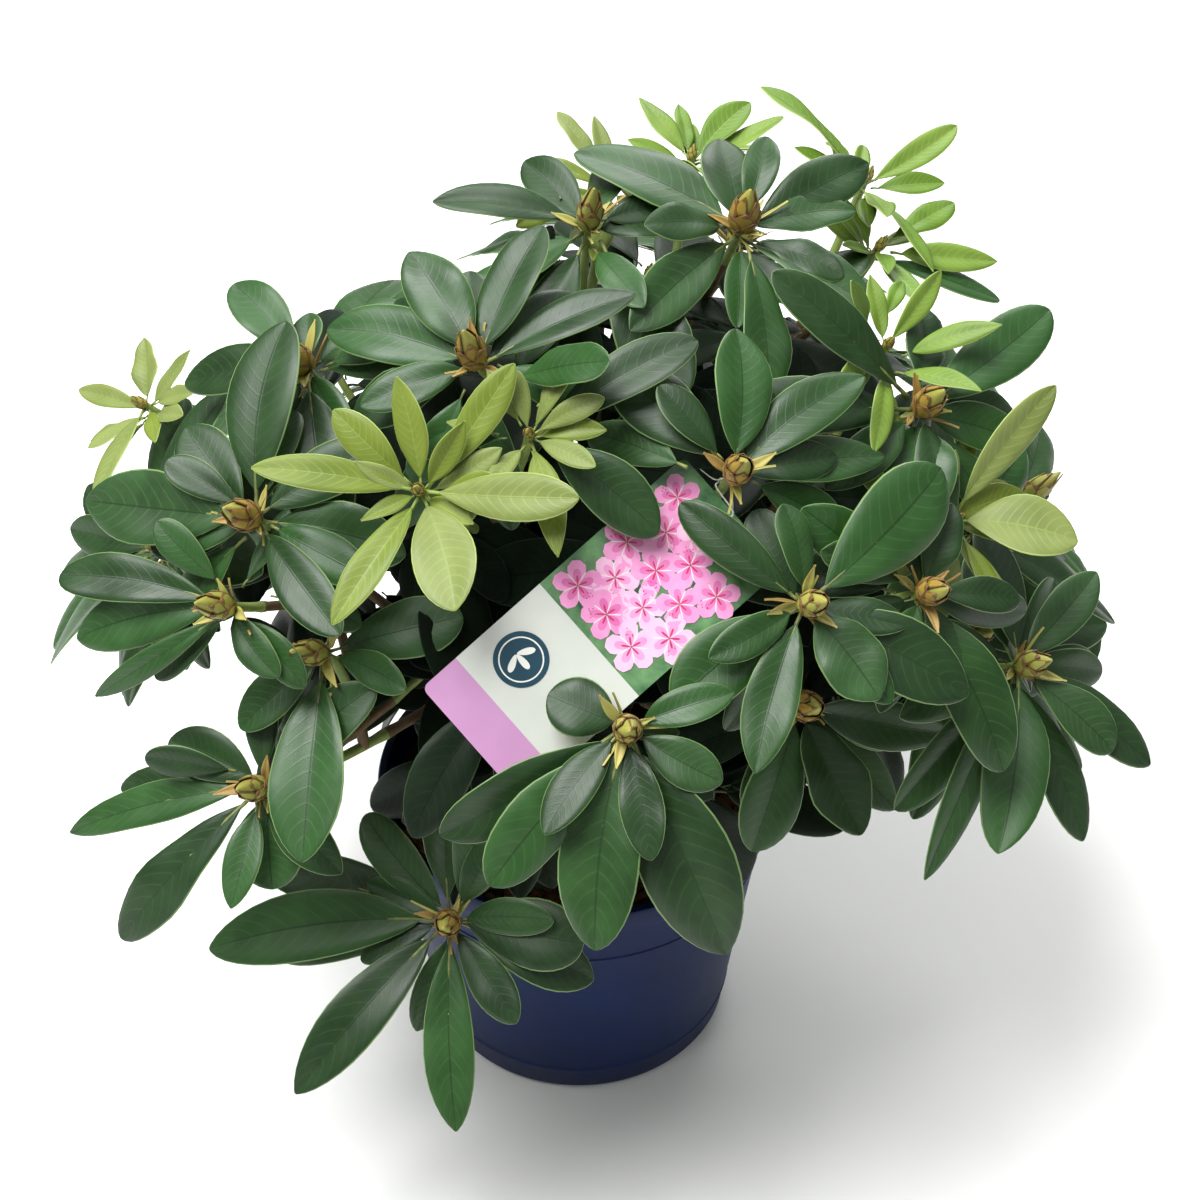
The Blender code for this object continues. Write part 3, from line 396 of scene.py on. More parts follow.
def along_path(path, share):
    """The point at this share of the path's number of steps."""
    place = share * (len(path) - 1)
    step = min(int(place), len(path) - 2)
    return path[step].lerp(path[step + 1], place - step)


def tapered(radii, count):
    return [radii[0] + (radii[1] - radii[0]) * step / (count - 1) for step in range(count)]


def tube_obstacle(owner, path, radii, sides=6):
    """A closed tube round a path, to test against."""
    points = []
    for step, centre in enumerate(path):
        ahead = path[min(step + 1, len(path) - 1)] - path[max(step - 1, 0)]
        across = ahead.orthogonal().normalized()
        other = ahead.normalized().cross(across)
        turns = [2 * math.pi * side / sides for side in range(sides)]
        points += [centre + (across * math.cos(a) + other * math.sin(a)) * radii[step] for a in turns]
    faces = []
    for step in range(len(path) - 1):
        for side in range(sides):
            near, far = step * sides + side, step * sides + (side + 1) % sides
            faces.append((near, far, far + sides, near + sides))
    return obstacle_of(owner, points, faces)


def touches(thing, others, ignored=()):
    for other in others:
        if other.owner in ignored or (thing.middle - other.middle).length > thing.reach + other.reach:
            continue
        if thing.tree.overlap(other.tree):
            return True
    return False


def limb_paths():
    """The main stem and every bough: name -> (path, radii). A bough ends about half way from the
    fork to the middle of its mass, where the mass's own stem takes over."""
    stem = bezier(STEM_FOOT, STEM_FOOT.lerp(STEM_FORK, 0.5) + STEM_BEND, STEM_FORK, 4)
    limbs = {"stem": (stem, STEM_RADII)}
    for name, (parent, share) in BOUGHS.items():
        tips = [Vector(whorl.tip) for whorl in WHORLS if whorl.mass == name]
        middle = sum(tips, Vector()) / len(tips)
        order = int(parent != "stem")
        start = along_path(limbs[parent][0], share)
        end = STEM_FORK.lerp(middle, BOUGH_REACH[order])
        bend = start.lerp(end, 0.5) + UP * BOUGH_BEND[order]
        path = bezier(start, bend, end, 5)
        limbs[name] = (path, tapered(BOUGH_RADII[order], len(path)))
    return limbs


def fill_whorls(shells, set_before):
    """Whorls that fill the crown between those set before, evenly, on each shell. Each joins the
    mass whose whorls are nearest."""
    filled = []
    golden = math.pi * (3 - math.sqrt(5))
    for kind, reach, spacing, seeds in shells:
        for seed in range(seeds):
            height = 1 - 2 * (seed + 0.5) / seeds
            ring = math.sqrt(1 - height * height)
            spot = Vector((ring * math.cos(golden * seed), ring * math.sin(golden * seed), height))
            wobble = 1 + SHELL_WAVE * math.sin(seed * SHELL_TURN)
            tip = CROWN_CENTRE + Vector([spot[i] * CROWN_REACH[i] for i in range(3)]) * reach * wobble
            near = min(WHORLS, key=lambda whorl: (Vector(whorl.tip) - tip).length)
            others = set_before + filled
            if tip.z < LOWEST_WHORL or not within_shoulders(tip, SHOULDER_MARGIN):
                continue
            if tip.y < FRONT_EDGE and tip.z < OPEN_FRONT_HEIGHT or in_opening(tip, OPENING_MARGIN):
                continue
            if min((Vector(other.tip) - tip).length for other in others) < spacing:
                continue
            filled.append(Whorl(near.mass, tuple(tip), kind, ()))
    return filled


def grow_twigs(whorls, limbs, obstacles, stems, by_hand):
    """A twig for each whorl. The first of a mass starts at its bough's tip and is the mass's stem,
    and the others branch from it. Each tries a few routes. A filling whorl with none is dropped."""
    twigs, buds = [], []
    for whorl in whorls:
        tip = Vector(whorl.tip)
        axis = whorl_axis(tip)
        bough = limbs[whorl.mass][0]
        ahead = (bough[-1] - bough[-2]).normalized()
        fixed = len(twigs) < by_hand
        bud_ends = [tip - axis * BUD_FOOT, tip + axis * BUD_LENGTH]
        bud_space = tube_obstacle(("bud", tuple(tip)), bud_ends, BUD_ROOM)
        if not fixed and touches(bud_space, obstacles, (whorl.mass,)):
            continue
        for bend_share, branch_share in product(BEND_SHARES, BRANCH_SHARES):
            if whorl.mass in stems:
                start = along_path(stems[whorl.mass], branch_share)
                lead = []
            else:
                start = bough[-1] + ahead * STEM_LEAD
                lead = [bough[-1] + ahead * GAP]
            reach = (tip - start).length
            bend = tip - axis * reach * bend_share + ahead * reach * 0.06
            path = bezier(start, bend, tip, 4)
            clear = tube_obstacle(whorl.mass, path, tapered(TWIG_CLEARANCE, len(path)))
            if not touches(clear, obstacles, (whorl.mass,)):
                break
        else:
            if not fixed:
                continue
        stems.setdefault(whorl.mass, path)
        path = lead + path
        twigs.append(Twig(whorl.mass, path, tapered(TWIG_RADII, len(path))))
        buds.append((whorl, Bud(whorl.mass, tip, axis, whorl.kind)))
        obstacles.append(clear)
        obstacles.append(bud_space)
    return twigs, buds, stems


def leaf_wishes(whorl, dice):
    """(kind, bearing, length, width, listed) of the leaves that a whorl tries to hold."""
    kind = KINDS[whorl.kind]
    wishes = []
    for bearing, length, width, *other in whorl.leaves:
        own = other[0] if other else whorl.kind
        wishes.append((own, math.radians(bearing), length / 1000, width / 1000, True))
    taken = [wish[1] for wish in wishes]
    turn = dice.uniform(0, 2 * math.pi)
    for count in range(kind.count + 1):
        bearing = (turn + count * 2 * math.pi / (kind.count + 1)) % (2 * math.pi)
        apart = [abs((bearing - other + math.pi) % (2 * math.pi) - math.pi) for other in taken]
        if not taken or min(apart) > LEAST_APART:
            length = kind.length * dice.uniform(*LENGTH_SPREAD)
            width = kind.width * length / kind.length * dice.uniform(*WIDTH_SPREAD)
            wishes.append((whorl.kind, bearing, length, width, False))
    return wishes


def grow_leaves(buds, obstacles, first_seed, wishes_of):
    """Leaves round every bud. A leaf that would touch anything turns or tilts a little, a few
    times, and is then left out. Only listed leaves may lie in front of the label."""
    leaves = []
    for number, (whorl, bud) in enumerate(buds):
        dice = random.Random(SEED * 1000 + first_seed + number)
        own = (("bud", tuple(bud.tip)), whorl.mass)
        for count, (kind, bearing, length, width, by_hand) in enumerate(wishes_of(whorl, dice)):
            pitch = math.radians(KINDS[kind].pitch + dice.uniform(*PITCH_SPREAD))
            roll = math.radians(dice.uniform(*ROLL_SPREAD))
            base = bud.tip - bud.axis * (RING_DEPTH + RING_STEP * (count % RINGS))
            for attempt in range(TRIES):
                swing = (attempt + 1) // 2 * (-1) ** attempt
                shrink = 1 - SHRINK_STEP * attempt
                leaf = Leaf(whorl.mass, kind, base, bud.axis, bearing + TURN_STEP * swing,
                            pitch + TILT_STEP * swing, length * shrink, width * shrink, roll, by_hand)
                body = leaf.obstacle()
                end = leaf.place(1, 0, 0)
                outside = end.z < LOWEST_LEAF or not (by_hand or within_shoulders(end))
                ignored = (*own, "label_view", "opening") if by_hand else own
                if not outside and not touches(body, obstacles, ignored):
                    leaves.append(leaf)
                    obstacles.append(body)
                    break
    return leaves


def label_place(along, across, over=0.0):
    """A point of the bowed label. along runs from -1, its foot, to 1, its hole end."""
    axis = LABEL_WAY.normalized()
    face = (LABEL_FACE - axis * LABEL_FACE.dot(axis)).normalized()
    bow = LABEL_BOW * (1 - along * along) + over
    return (LABEL_MIDDLE + axis * (along * LABEL_LENGTH / 2)
            + axis.cross(face) * (across * LABEL_WIDTH / 2) + face * bow)


def label_hole():
    return label_place(1 - 2 * LABEL_HOLE_INSET / LABEL_LENGTH, 0)


def tie_path(twigs):
    """The loop that hangs the label: through its hole, up both of its faces and over the twig."""
    twig = min(twigs, key=lambda twig: (twig.path[-1] - Vector(TIE_TWIG)).length)
    way = (twig.path[-1] - twig.path[-2]).normalized()
    seat = along_path(twig.path, 1 - TIE_SHARE)
    side = way.cross(UP).normalized()
    over = side.cross(way)
    reach = TWIG_RADII[1] + TIE_RADIUS + GAP * 1.5
    arc = [math.radians(turn) for turn in (0, 45, 90, 135, 180)]
    saddle = [seat + (side * math.cos(turn) + over * math.sin(turn)) * reach for turn in arc]
    along = (label_place(1, 0) - label_place(0.9, 0)).normalized()
    face = label_place(1, 0, 1) - label_place(1, 0)
    end = label_place(1, 0)
    hole = label_hole() + along * (LABEL_HOLE_RADIUS - TIE_RADIUS - GAP * 1.6)
    front = [hole + face * TIE_BOW + along * TIE_RISE, end + face * TIE_BOW]
    back = [end - face * TIE_BOW, hole - face * TIE_BOW + along * TIE_RISE]
    return smooth_loop([hole, *front, *saddle, *back], 3)


# The view of the label stays free: sheets over it at these depths, and walls across it at these
# shares of its half width, from the near to the far depth.
VIEW_SHEETS = (0.015, 0.03, 0.05, 0.07)
VIEW_WALLS = (-0.8, -0.4, 0, 0.4, 0.8)
VIEW_SPAN = (0.01, 0.14)
VIEW_INSET = 0.96
LABEL_ROOM = 0.003
POT_ROOM = 0.002
POT_ROOM_SIDES = 24
LIMB_ROOM = 0.001


def fixed_obstacles(limbs):
    """Everything that twigs and leaves grow round: limbs, label and pot."""
    found = []
    for name, (path, radii) in limbs.items():
        roomy = [radius + LIMB_ROOM for radius in radii]
        found.append(tube_obstacle("bough_" + name, path, roomy, 8))
    outline = ((-1, -1), (-1, 1), (0, 1), (1, 1), (1, -1), (0, -1))
    corners = [label_place(a, c, depth) for depth in (-LABEL_ROOM, LABEL_ROOM) for a, c in outline]
    sides = [(i, (i + 1) % 6, (i + 1) % 6 + 6, i + 6) for i in range(6)]
    faces = [tuple(range(6)), tuple(range(6, 12))] + sides
    found.append(obstacle_of("label", corners, faces))
    for depth in VIEW_SHEETS:
        view = [label_place(a * VIEW_INSET, c * VIEW_INSET, depth) for a, c in outline]
        found.append(obstacle_of("label_view", view, [tuple(range(6))]))
    near, far = VIEW_SPAN
    for across in VIEW_WALLS:
        wall = ((-1, near), (1, near), (1, far), (-1, far))
        view = [label_place(a, across, depth) for a, depth in wall]
        found.append(obstacle_of("label_view", view, [(0, 1, 2, 3)]))
    lip = POT_RIM_RADIUS + POT_LIP_PROUD + POT_ROOM
    ends = [Vector(), UP * POT_HEIGHT]
    found.append(tube_obstacle("pot", ends, [lip - 0.02, lip], POT_ROOM_SIDES))
    turns = [2 * math.pi * side / POT_ROOM_SIDES for side in range(POT_ROOM_SIDES)]
    rim = [Vector((lip * math.cos(a), lip * math.sin(a), POT_HEIGHT + POT_ROOM)) for a in turns]
    found.append(obstacle_of("pot", rim, [tuple(range(POT_ROOM_SIDES))]))
    return found


# ---- Fine growth ----------------------------------------------------------------------------------

def opening_obstacles():
    """The lines of sight that stay open, as tunnels through the crown."""
    found = []
    for x, height, radius in OPENINGS:
        middle = Vector((x, 0, height))
        reach = (middle - VIEWER).normalized() * OPENING_DEPTH
        ends = [middle - reach, middle + reach]
        found.append(tube_obstacle("opening", ends, [radius * share for share in OPENING_SPREAD], 8))
    return found


def grow_fine():
    """All that the crown holds: the leaves of the solids, then smaller ones in the room left."""
    limbs = limb_paths()
    obstacles = fixed_obstacles(limbs)
    whorls = WHORLS + fill_whorls(SHELLS, WHORLS)
    twigs, buds, stems = grow_twigs(whorls, limbs, obstacles, {}, len(WHORLS))
    loop = tie_path(twigs)
    obstacles.append(tube_obstacle("tie", loop, [TIE_RADIUS + LIMB_ROOM] * len(loop)))
    obstacles += opening_obstacles()
    leaves = grow_leaves(buds, obstacles, 0, leaf_wishes)
    fine = fill_whorls(FINE_SHELLS, whorls)
    more_twigs, more_buds, stems = grow_twigs(fine, limbs, obstacles, stems, 0)
    leaves += grow_leaves(more_buds, obstacles, FILL_DICE, leaf_wishes)
    leaves += grow_leaves(buds + more_buds, obstacles, GAP_DICE, gap_wishes)
    in_flower = [pair for pair in buds if has_flower_bud(*pair)]
    leaves += grow_leaves(in_flower, [], BRACT_DICE, bract_wishes)
    return limbs, twigs + more_twigs, buds + more_buds, leaves, loop


GAP_LEAVES = 7
BRACTS = 6
BROAD_BRACTS = 3
# The width of both sorts of bract, as shares of their length, and the turn from one to the next.
BROAD_BRACT = 0.26
THIN_BRACT = 0.07
BRACT_TURN = 2.2


def gap_wishes(whorl, dice):
    """Short leaves tried all round a whorl, which only its gaps take."""
    kind = KINDS[whorl.kind]
    turn = dice.uniform(0, 2 * math.pi)
    wishes = []
    for count in range(GAP_LEAVES):
        bearing = turn + count * 2 * math.pi / GAP_LEAVES
        length = kind.length * dice.uniform(*GAP_LENGTH_SPREAD)
        width = kind.width * length / kind.length * GAP_WIDTH
        wishes.append((whorl.kind, bearing, length, width, False))
    return wishes


def bract_wishes(whorl, dice):
    """The narrow bracts at the foot of a flower bud, broader ones first and then thin wisps."""
    turn = dice.uniform(0, 2 * math.pi)
    wishes = []
    for count in range(BRACTS):
        length = KINDS["bract"].length * dice.uniform(*BRACT_SPREAD)
        width = length * (BROAD_BRACT if count < BROAD_BRACTS else THIN_BRACT)
        wishes.append(("bract", turn + count * BRACT_TURN, length, width, False))
    return wishes


def has_flower_bud(whorl, bud):
    """The mature shoots hold a flower bud, apart from a few of those that the rule sets."""
    return whorl.kind == "mature" and (len(whorl.leaves) > 0 or math.sin(bud.tip.x * 900) > -0.5)


# ---- Modelling helpers ----------------------------------------------------------------------------


def deselect_all():
    if bpy.context.mode != "OBJECT":
        bpy.ops.object.mode_set(mode="OBJECT")
    bpy.ops.object.select_all(action="DESELECT")


def hold(thing):
    """Makes the thing the only selected and the active object."""
    deselect_all()
    thing.select_set(True)
    bpy.context.view_layer.objects.active = thing


@contextmanager
def editing(thing):
    """Holds the thing in edit mode while the lines below it run."""
    hold(thing)
    bpy.ops.object.mode_set(mode="EDIT")
    yield
    bpy.ops.object.mode_set(mode="OBJECT")


def new_object(name, data):
    thing = bpy.data.objects.new(name, data)
    bpy.context.scene.collection.objects.link(thing)
    return thing


def placed(thing):
    """Applies the thing's own place, so that its object sits at the origin."""
    hold(thing)
    bpy.ops.object.transform_apply(location=True, rotation=True, scale=True)
    return thing


def apply_modifiers(thing):
    hold(thing)
    for modifier in list(thing.modifiers):
        bpy.ops.object.modifier_apply(modifier=modifier.name)
    return thing


def tidy_mesh(thing):
    """Merges doubles and turns every face outwards."""
    with editing(thing):
        bpy.ops.mesh.select_all(action="SELECT")
        bpy.ops.mesh.remove_doubles(threshold=0.000001)
        bpy.ops.mesh.normals_make_consistent(inside=False)
    return thing


def thick_grid(rows, columns, size):
    """A flat grid with a second one below it, at a height of -1, and sides between them."""
    deselect_all()
    bpy.ops.mesh.primitive_grid_add(x_subdivisions=rows, y_subdivisions=columns, size=size)
    grid = bpy.context.object
    with editing(grid):
        bpy.ops.mesh.extrude_region_move(TRANSFORM_OT_translate={"value": (0, 0, -1)})
        bpy.ops.mesh.select_all(action="SELECT")
        bpy.ops.mesh.normals_make_consistent(inside=False)
    return grid


def drill(thing, place, radius, depth, sides):
    """Cuts a round upright hole in the thing."""
    deselect_all()
    bpy.ops.mesh.primitive_cylinder_add(vertices=sides, radius=radius, depth=depth, location=place)
    cutter = bpy.context.object
    cut = thing.modifiers.new("hole", "BOOLEAN")
    cut.object = cutter
    apply_modifiers(thing)
    bpy.data.objects.remove(cutter)


def smooth(thing, angle):
    """Shades the thing smooth where its faces meet at less than this angle, in degrees."""
    hold(thing)
    bpy.ops.object.shade_smooth_by_angle(angle=math.radians(angle))
    return thing


def dress(thing, *finishes):
    """Puts the finishes on a piece, whose faces keep the slots that they were dealt."""
    slots = [face.material_index for face in thing.data.polygons]
    thing.data.materials.clear()
    for finish in finishes:
        thing.data.materials.append(finish)
    thing.data.polygons.foreach_set("material_index", slots)
    return thing


def finished(thing, name, replaced=()):
    """Names a piece, lets it ride with the plant and hides the solids that it stands for."""
    placed(thing)
    thing.name = name
    thing.data.name = name
    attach(thing, "root")
    if replaced:
        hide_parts(*replaced)
    return thing


def tubes(name, runs, roundness, skin):
    """Round tubes along many paths, as one mesh. Each run is (points, radii)."""
    deselect_all()
    curve = bpy.data.curves.new(name, "CURVE")
    curve.dimensions = "3D"
    curve.bevel_depth = 1.0
    curve.bevel_resolution = roundness
    curve.use_fill_caps = True
    for points, radii in runs:
        spline = curve.splines.new("POLY")
        spline.points.add(len(points) - 1)
        for knot, place, radius in zip(spline.points, points, radii):
            knot.co = (*place, 1)
            knot.radius = radius
    hold(new_object(name, curve))
    bpy.ops.object.convert(target="MESH")
    return dress(tidy_mesh(bpy.context.object), skin)


def fine_path(path, radii, steps):
    """The path and its radii again with steps points to each stretch, on a smooth curve."""
    points, sizes = [], []
    for here in range(len(path) - 1):
        start, end = path[here], path[here + 1]
        before = path[here - 1] if here else start * 2 - end
        beyond = path[here + 2] if here + 2 < len(path) else end * 2 - start
        points += smooth_stretch(before, start, end, beyond, steps)
        step_up = radii[here + 1] - radii[here]
        sizes += [radii[here] + step_up * (step / steps) for step in range(steps)]
    return points + [path[-1]], sizes + [radii[-1]]


# ---- Finishes -------------------------------------------------------------------------------------


def linear(hex_code):
    """The linear values of a colour given as in a paint chart, such as 24502B."""
    parts = [int(hex_code[i:i + 2], 16) / 255 for i in (0, 2, 4)]
    return [part / 12.92 if part <= 0.04045 else ((part + 0.055) / 1.055) ** 2.4 for part in parts]


def new_group(name, place, sizes, results):
    """An empty group of shader nodes with its end nodes. It takes one vector, place, and sizes."""
    group = bpy.data.node_groups.new(name, "ShaderNodeTree")
    group.interface.new_socket(place, in_out="INPUT", socket_type="NodeSocketVector")
    for names, way in ((sizes, "INPUT"), (results, "OUTPUT")):
        for title in names:
            group.interface.new_socket(title, in_out=way, socket_type="NodeSocketFloat")
    return group, group.nodes.new("NodeGroupInput"), group.nodes.new("NodeGroupOutput")


def ranged(tree, value, **ends):
    """A value carried over to another range, whose ends are named as on the node."""
    node = tree.nodes.new("ShaderNodeMapRange")
    for end, number in ends.items():
        node.inputs[end.replace("_", " ")].default_value = number
    tree.links.new(value, node.inputs["Value"])
    return node.outputs["Result"]


def mottle_group():
    """Soft blotches and a fine grain over a surface: both between 0 and 1."""
    sizes, results = ("Blotch Scale", "Grain Scale"), ("Blotches", "Grain")
    group, inward, outward = new_group("mottle", "Place", sizes, results)
    for size, result, detail in zip(sizes, results, (4, 2)):
        cloud = group.nodes.new("ShaderNodeTexNoise")
        cloud.inputs["Detail"].default_value = detail
        cloud.inputs["Roughness"].default_value = 0.6
        group.links.new(inward.outputs["Place"], cloud.inputs["Vector"])
        group.links.new(inward.outputs[size], cloud.inputs["Scale"])
        spread = ranged(group, cloud.outputs["Fac"], From_Min=0.32, From_Max=0.68)
        group.links.new(spread, outward.inputs[result])
    return group


def reckon(tree, operation, *values):
    """A math node's result. Each value is a number or another node's output."""
    node = tree.nodes.new("ShaderNodeMath")
    node.operation = operation
    for socket, value in zip(node.inputs, values):
        if isinstance(value, (int, float)):
            socket.default_value = value
        else:
            tree.links.new(value, socket)
    return node.outputs["Value"]


VEIN_PAIRS = 13
# How far a vein runs on towards the tip by the time it meets the rim, and how it bends there.
VEIN_SWEEP = 0.19
VEIN_BEND = 1.4
# The larger these are, the finer the lines.
VEIN_FINENESS = 9.0
RIB_FINENESS = 22.0


def leaf_net_group():
    """The net of a leaf from its own map, whose X runs from base to tip and whose Y crosses the rib
    at 0.5: masks of the lateral veins and of the rib, and the height of the surface between."""
    group, inward, outward = new_group("leaf_net", "Map", (), ("Veins", "Rib", "Height"))
    split = group.nodes.new("ShaderNodeSeparateXYZ")
    group.links.new(inward.outputs["Map"], split.inputs["Vector"])
    offset = reckon(group, "SUBTRACT", split.outputs["Y"], 0.5)
    across = reckon(group, "MULTIPLY", reckon(group, "ABSOLUTE", offset), 2.0)
    bend = reckon(group, "POWER", across, VEIN_BEND)
    along = reckon(group, "SUBTRACT", split.outputs["X"], reckon(group, "MULTIPLY", bend, VEIN_SWEEP))
    ripple = reckon(group, "PINGPONG", reckon(group, "MULTIPLY", along, VEIN_PAIRS), 0.5)
    line = reckon(group, "POWER", reckon(group, "MULTIPLY", ripple, 2.0), VEIN_FINENESS)
    fade = reckon(group, "SUBTRACT", 1.0, reckon(group, "POWER", across, 3.0))
    veins = reckon(group, "MULTIPLY", line, fade)
    near = reckon(group, "SUBTRACT", 1.0, reckon(group, "MULTIPLY", across, RIB_FINENESS))
    rib = reckon(group, "MAXIMUM", near, 0.0)
    sunk = reckon(group, "ADD", reckon(group, "MULTIPLY", veins, 0.5), rib)
    height = reckon(group, "SUBTRACT", 1.0, sunk)
    for name, value in (("Veins", veins), ("Rib", rib), ("Height", height)):
        group.links.new(value, outward.inputs[name])
    return group


MOTTLE = mottle_group()
LEAF_NET = leaf_net_group()


def blended(tree, mask, below, above):
    """A colour mixed by a mask. Each colour is a paint-chart code or another node's output."""
    blend = tree.nodes.new("ShaderNodeMix")
    blend.data_type = "RGBA"
    tree.links.new(mask, blend.inputs["Factor"])
    for socket, colour in (("A", below), ("B", above)):
        if isinstance(colour, str):
            blend.inputs[socket].default_value = (*linear(colour), 1)
        else:
            tree.links.new(colour, blend.inputs[socket])
    return blend.outputs["Result"]


# How deep a relief is where nothing else is said.
DEPTH = 0.0003


def finish(name, colour, other, roughness, blotch, grain, relief=0.0, depth=DEPTH, uneven=0.0,
           net=None, **shader_values):
    """A surface of two colours in soft blotches, with a grain that is felt in its relief. net is the
    colours of a leaf's lateral veins and rib, drawn from the leaf's own map."""
    made = bpy.data.materials.new(name)
    made.use_nodes = True
    tree = made.node_tree
    nodes, links = tree.nodes, tree.links
    shader = nodes["Principled BSDF"]
    shader.inputs["Roughness"].default_value = roughness
    for socket, value in shader_values.items():
        shader.inputs[socket.replace("_", " ")].default_value = value
    place = nodes.new("ShaderNodeTexCoord")
    cloud = nodes.new("ShaderNodeGroup")
    cloud.node_tree = MOTTLE
    cloud.inputs["Blotch Scale"].default_value = blotch
    cloud.inputs["Grain Scale"].default_value = grain
    links.new(place.outputs["Object"], cloud.inputs["Place"])
    paint = blended(tree, cloud.outputs["Blotches"], colour, other)
    height = cloud.outputs["Grain"]
    if net:
        leaf_map = nodes.new("ShaderNodeUVMap")
        leaf_map.uv_map = "leaf_map"
        drawn = nodes.new("ShaderNodeGroup")
        drawn.node_tree = LEAF_NET
        links.new(leaf_map.outputs["UV"], drawn.inputs["Map"])
        paint = blended(tree, drawn.outputs["Veins"], paint, net[0])
        paint = blended(tree, drawn.outputs["Rib"], paint, net[1])
        height = reckon(tree, "MULTIPLY_ADD", height, 0.25, drawn.outputs["Height"])
    links.new(paint, shader.inputs["Base Color"])
    if uneven:
        gloss = ranged(tree, cloud.outputs["Blotches"], To_Min=roughness - uneven,
                       To_Max=roughness + uneven)
        links.new(gloss, shader.inputs["Roughness"])
    if relief:
        bump = nodes.new("ShaderNodeBump")
        bump.inputs["Strength"].default_value = relief
        bump.inputs["Distance"].default_value = depth
        links.new(height, bump.inputs["Height"])
        links.new(bump.outputs["Normal"], shader.inputs["Normal"])
    return made


# The finishes of everything but leaves and card: two colours, the roughness, how many blotches and
# how many grains lie in a metre, how strong and how deep the relief is, and how far the roughness
# varies.
FINISHES = {
    "brown_bark": ("4A3828", "6E5A42", 0.85, 160, 1500, 0.5, 0.0006, 0.05),
    "brown_twig": ("54412A", "6C5636", 0.75, 150, 1500, 0.35, 0.0004),
    "green_shoot": ("6E8440", "8A9A50", 0.55, 120, 1400, 0.15),
    "bud_core": ("8A8A3C", "A09A48", 0.5, 200, 1500),
    "bud_scale_ochre": ("9E8A38", "947430", 0.42, 150, 1500, 0.15, DEPTH, 0.05),
    "bud_scale_edge": ("5E4222", "7A5A2C", 0.5, 200, 1500),
    "bud_scale_green": ("8E9640", "A29E4C", 0.42, 150, 1500, 0.15, DEPTH, 0.05),
    "navy_pot_plastic": ("0B1A40", "10224C", 0.46, 14, 1100, 0.10, DEPTH, 0.07),
    "dark_compost": ("241A14", "3A2A1E", 0.95, 90, 700, 0.9, 0.0012),
    "bark_chips": ("4A2E1E", "6E442A", 0.85, 120, 900, 0.5, 0.0006),
    "pale_thread": ("C9CEC2", "B2B8A8", 0.45, 200, 1500, 0.2),
    "pale_floor": ("F2F2F0", "F0F0EE", 0.8, 3, 40),
}
# The plastic of the pot mirrors this much of the sky.
PLASTIC_SHEEN = 0.16

# The tones of each kind of leaf, and of the painted shade deep in the crown, as (blade, blotch,
# veins), dealt out leaf by leaf.
TONES = {
    "mature": (("1C3A15", "264A1B", "2D5022"), ("173010", "214018", "284620"),
               ("243D1D", "2F5227", "37582F"), ("162D11", "1F3C18", "26441F"),
               ("214319", "2B5221", "325929")),
    "pale": (("5E7020", "72822C", "7E8E3A"), ("6A783A", "7B8848", "869452"),
             ("4E6C1A", "628426", "729234"), ("5A7624", "708C32", "7E9842")),
    # The old tones are partly the darker green of old leaves and partly painted shade: darkened
    # towards black, as old leaves stand inside the crown.
    "old": (("0E1C0F", "142612", "182C17"), ("0B170E", "101F10", "152614")),
    # Painted shade: near-black tones that stand in for the shade deep in the crown.
    "shade": (("0A150B", "0F1D0E", "132212"), ("080F08", "0C170B", "101B0F")),
    "bract": (("A8A254", "BCB26A", "B09A50"), ("98984A", "B0AC62", "A08C4A"),
              ("9A7E44", "B09856", "8A6238")),
}
# The rim, underside, stalk and rib of each kind, and those of the painted shade.
TRIMS = {
    # The dark ribs of the mature, old and shade kinds, last in each row, are partly painted shade: the
    # shade in the rib's groove.
    "mature": ("64804A", "7A8A58", "868E4C", "17300F"),
    "pale": ("9CAE62", "8E9C54", "8A9C48", "7C9044"),
    # The old trims are partly painted shade as well, darkened towards black.
    "old": ("2E4426", "44543A", "565E38", "0A180A"),
    # Painted shade: the trims of leaves deep in the crown, darkened towards black.
    "shade": ("16241A", "26301E", "343A22", "060D06"),
    "bract": ("86602E", "B0A660", "A09A50", "B8AC66"),
}
# The roughness of each kind, and how much of the sky it mirrors.
LEAF_GLOSS = {"mature": (0.44, 0.42), "pale": (0.50, 0.40), "old": (0.50, 0.22),
              "shade": (0.70, 0.06), "bract": (0.55, 0.40)}
# The masses whose new leaves have hardened to a clear green, and the tones they take.
HARDENED = ("top", "top_right", "right_high")

# What follows the two colours in a finish of each part of a leaf. A blade's roughness is its kind's.
BLADE_SURFACE = (34, 1400, 0.35, DEPTH, 0.06)
RIM_SURFACE = (0.5, 60, 1400)
UNDERSIDE_SURFACE = (0.7, 40, 1600, 0.5)
STALK_SURFACE = (0.5, 90, 1200, 0.1)


def leaf_finishes(kind):
    """The finishes of one kind of leaf, in the order of its slots: its tones, then its trims."""
    gloss, sheen = LEAF_GLOSS[kind]
    rim, under, stalk, rib = TRIMS[kind]
    name = kind + "_leaf_"
    made = [finish(name + str(number), *tones[:2], gloss, *BLADE_SURFACE, net=(tones[2], rib),
                   Specular_IOR_Level=sheen)
            for number, tones in enumerate(TONES[kind], 1)]
    made.append(finish(name + "rim", rim, rim, *RIM_SURFACE, Specular_IOR_Level=sheen))
    made.append(finish(name + "underside", under, stalk, *UNDERSIDE_SURFACE, net=(rim, rim),
                       Specular_IOR_Level=sheen / 2))
    made.append(finish(name + "stalk", stalk, rib, *STALK_SURFACE, Specular_IOR_Level=sheen))
    return made


def listed(name, **shader_values):
    """The finish that FINISHES lists under this name."""
    return finish(name, *FINISHES[name], **shader_values)


# ---- Leaves ---------------------------------------------------------------------------------------

# A pattern is one leaf, bud or chip in its own coordinates, ready to be bent to each place: points,
# the first corner of every face, the corners' points, each face's slot and each point's map.
Pattern = namedtuple("Pattern", "points starts corners slots maps")
BLADE, RIM, UNDERSIDE, STALK = range(4)

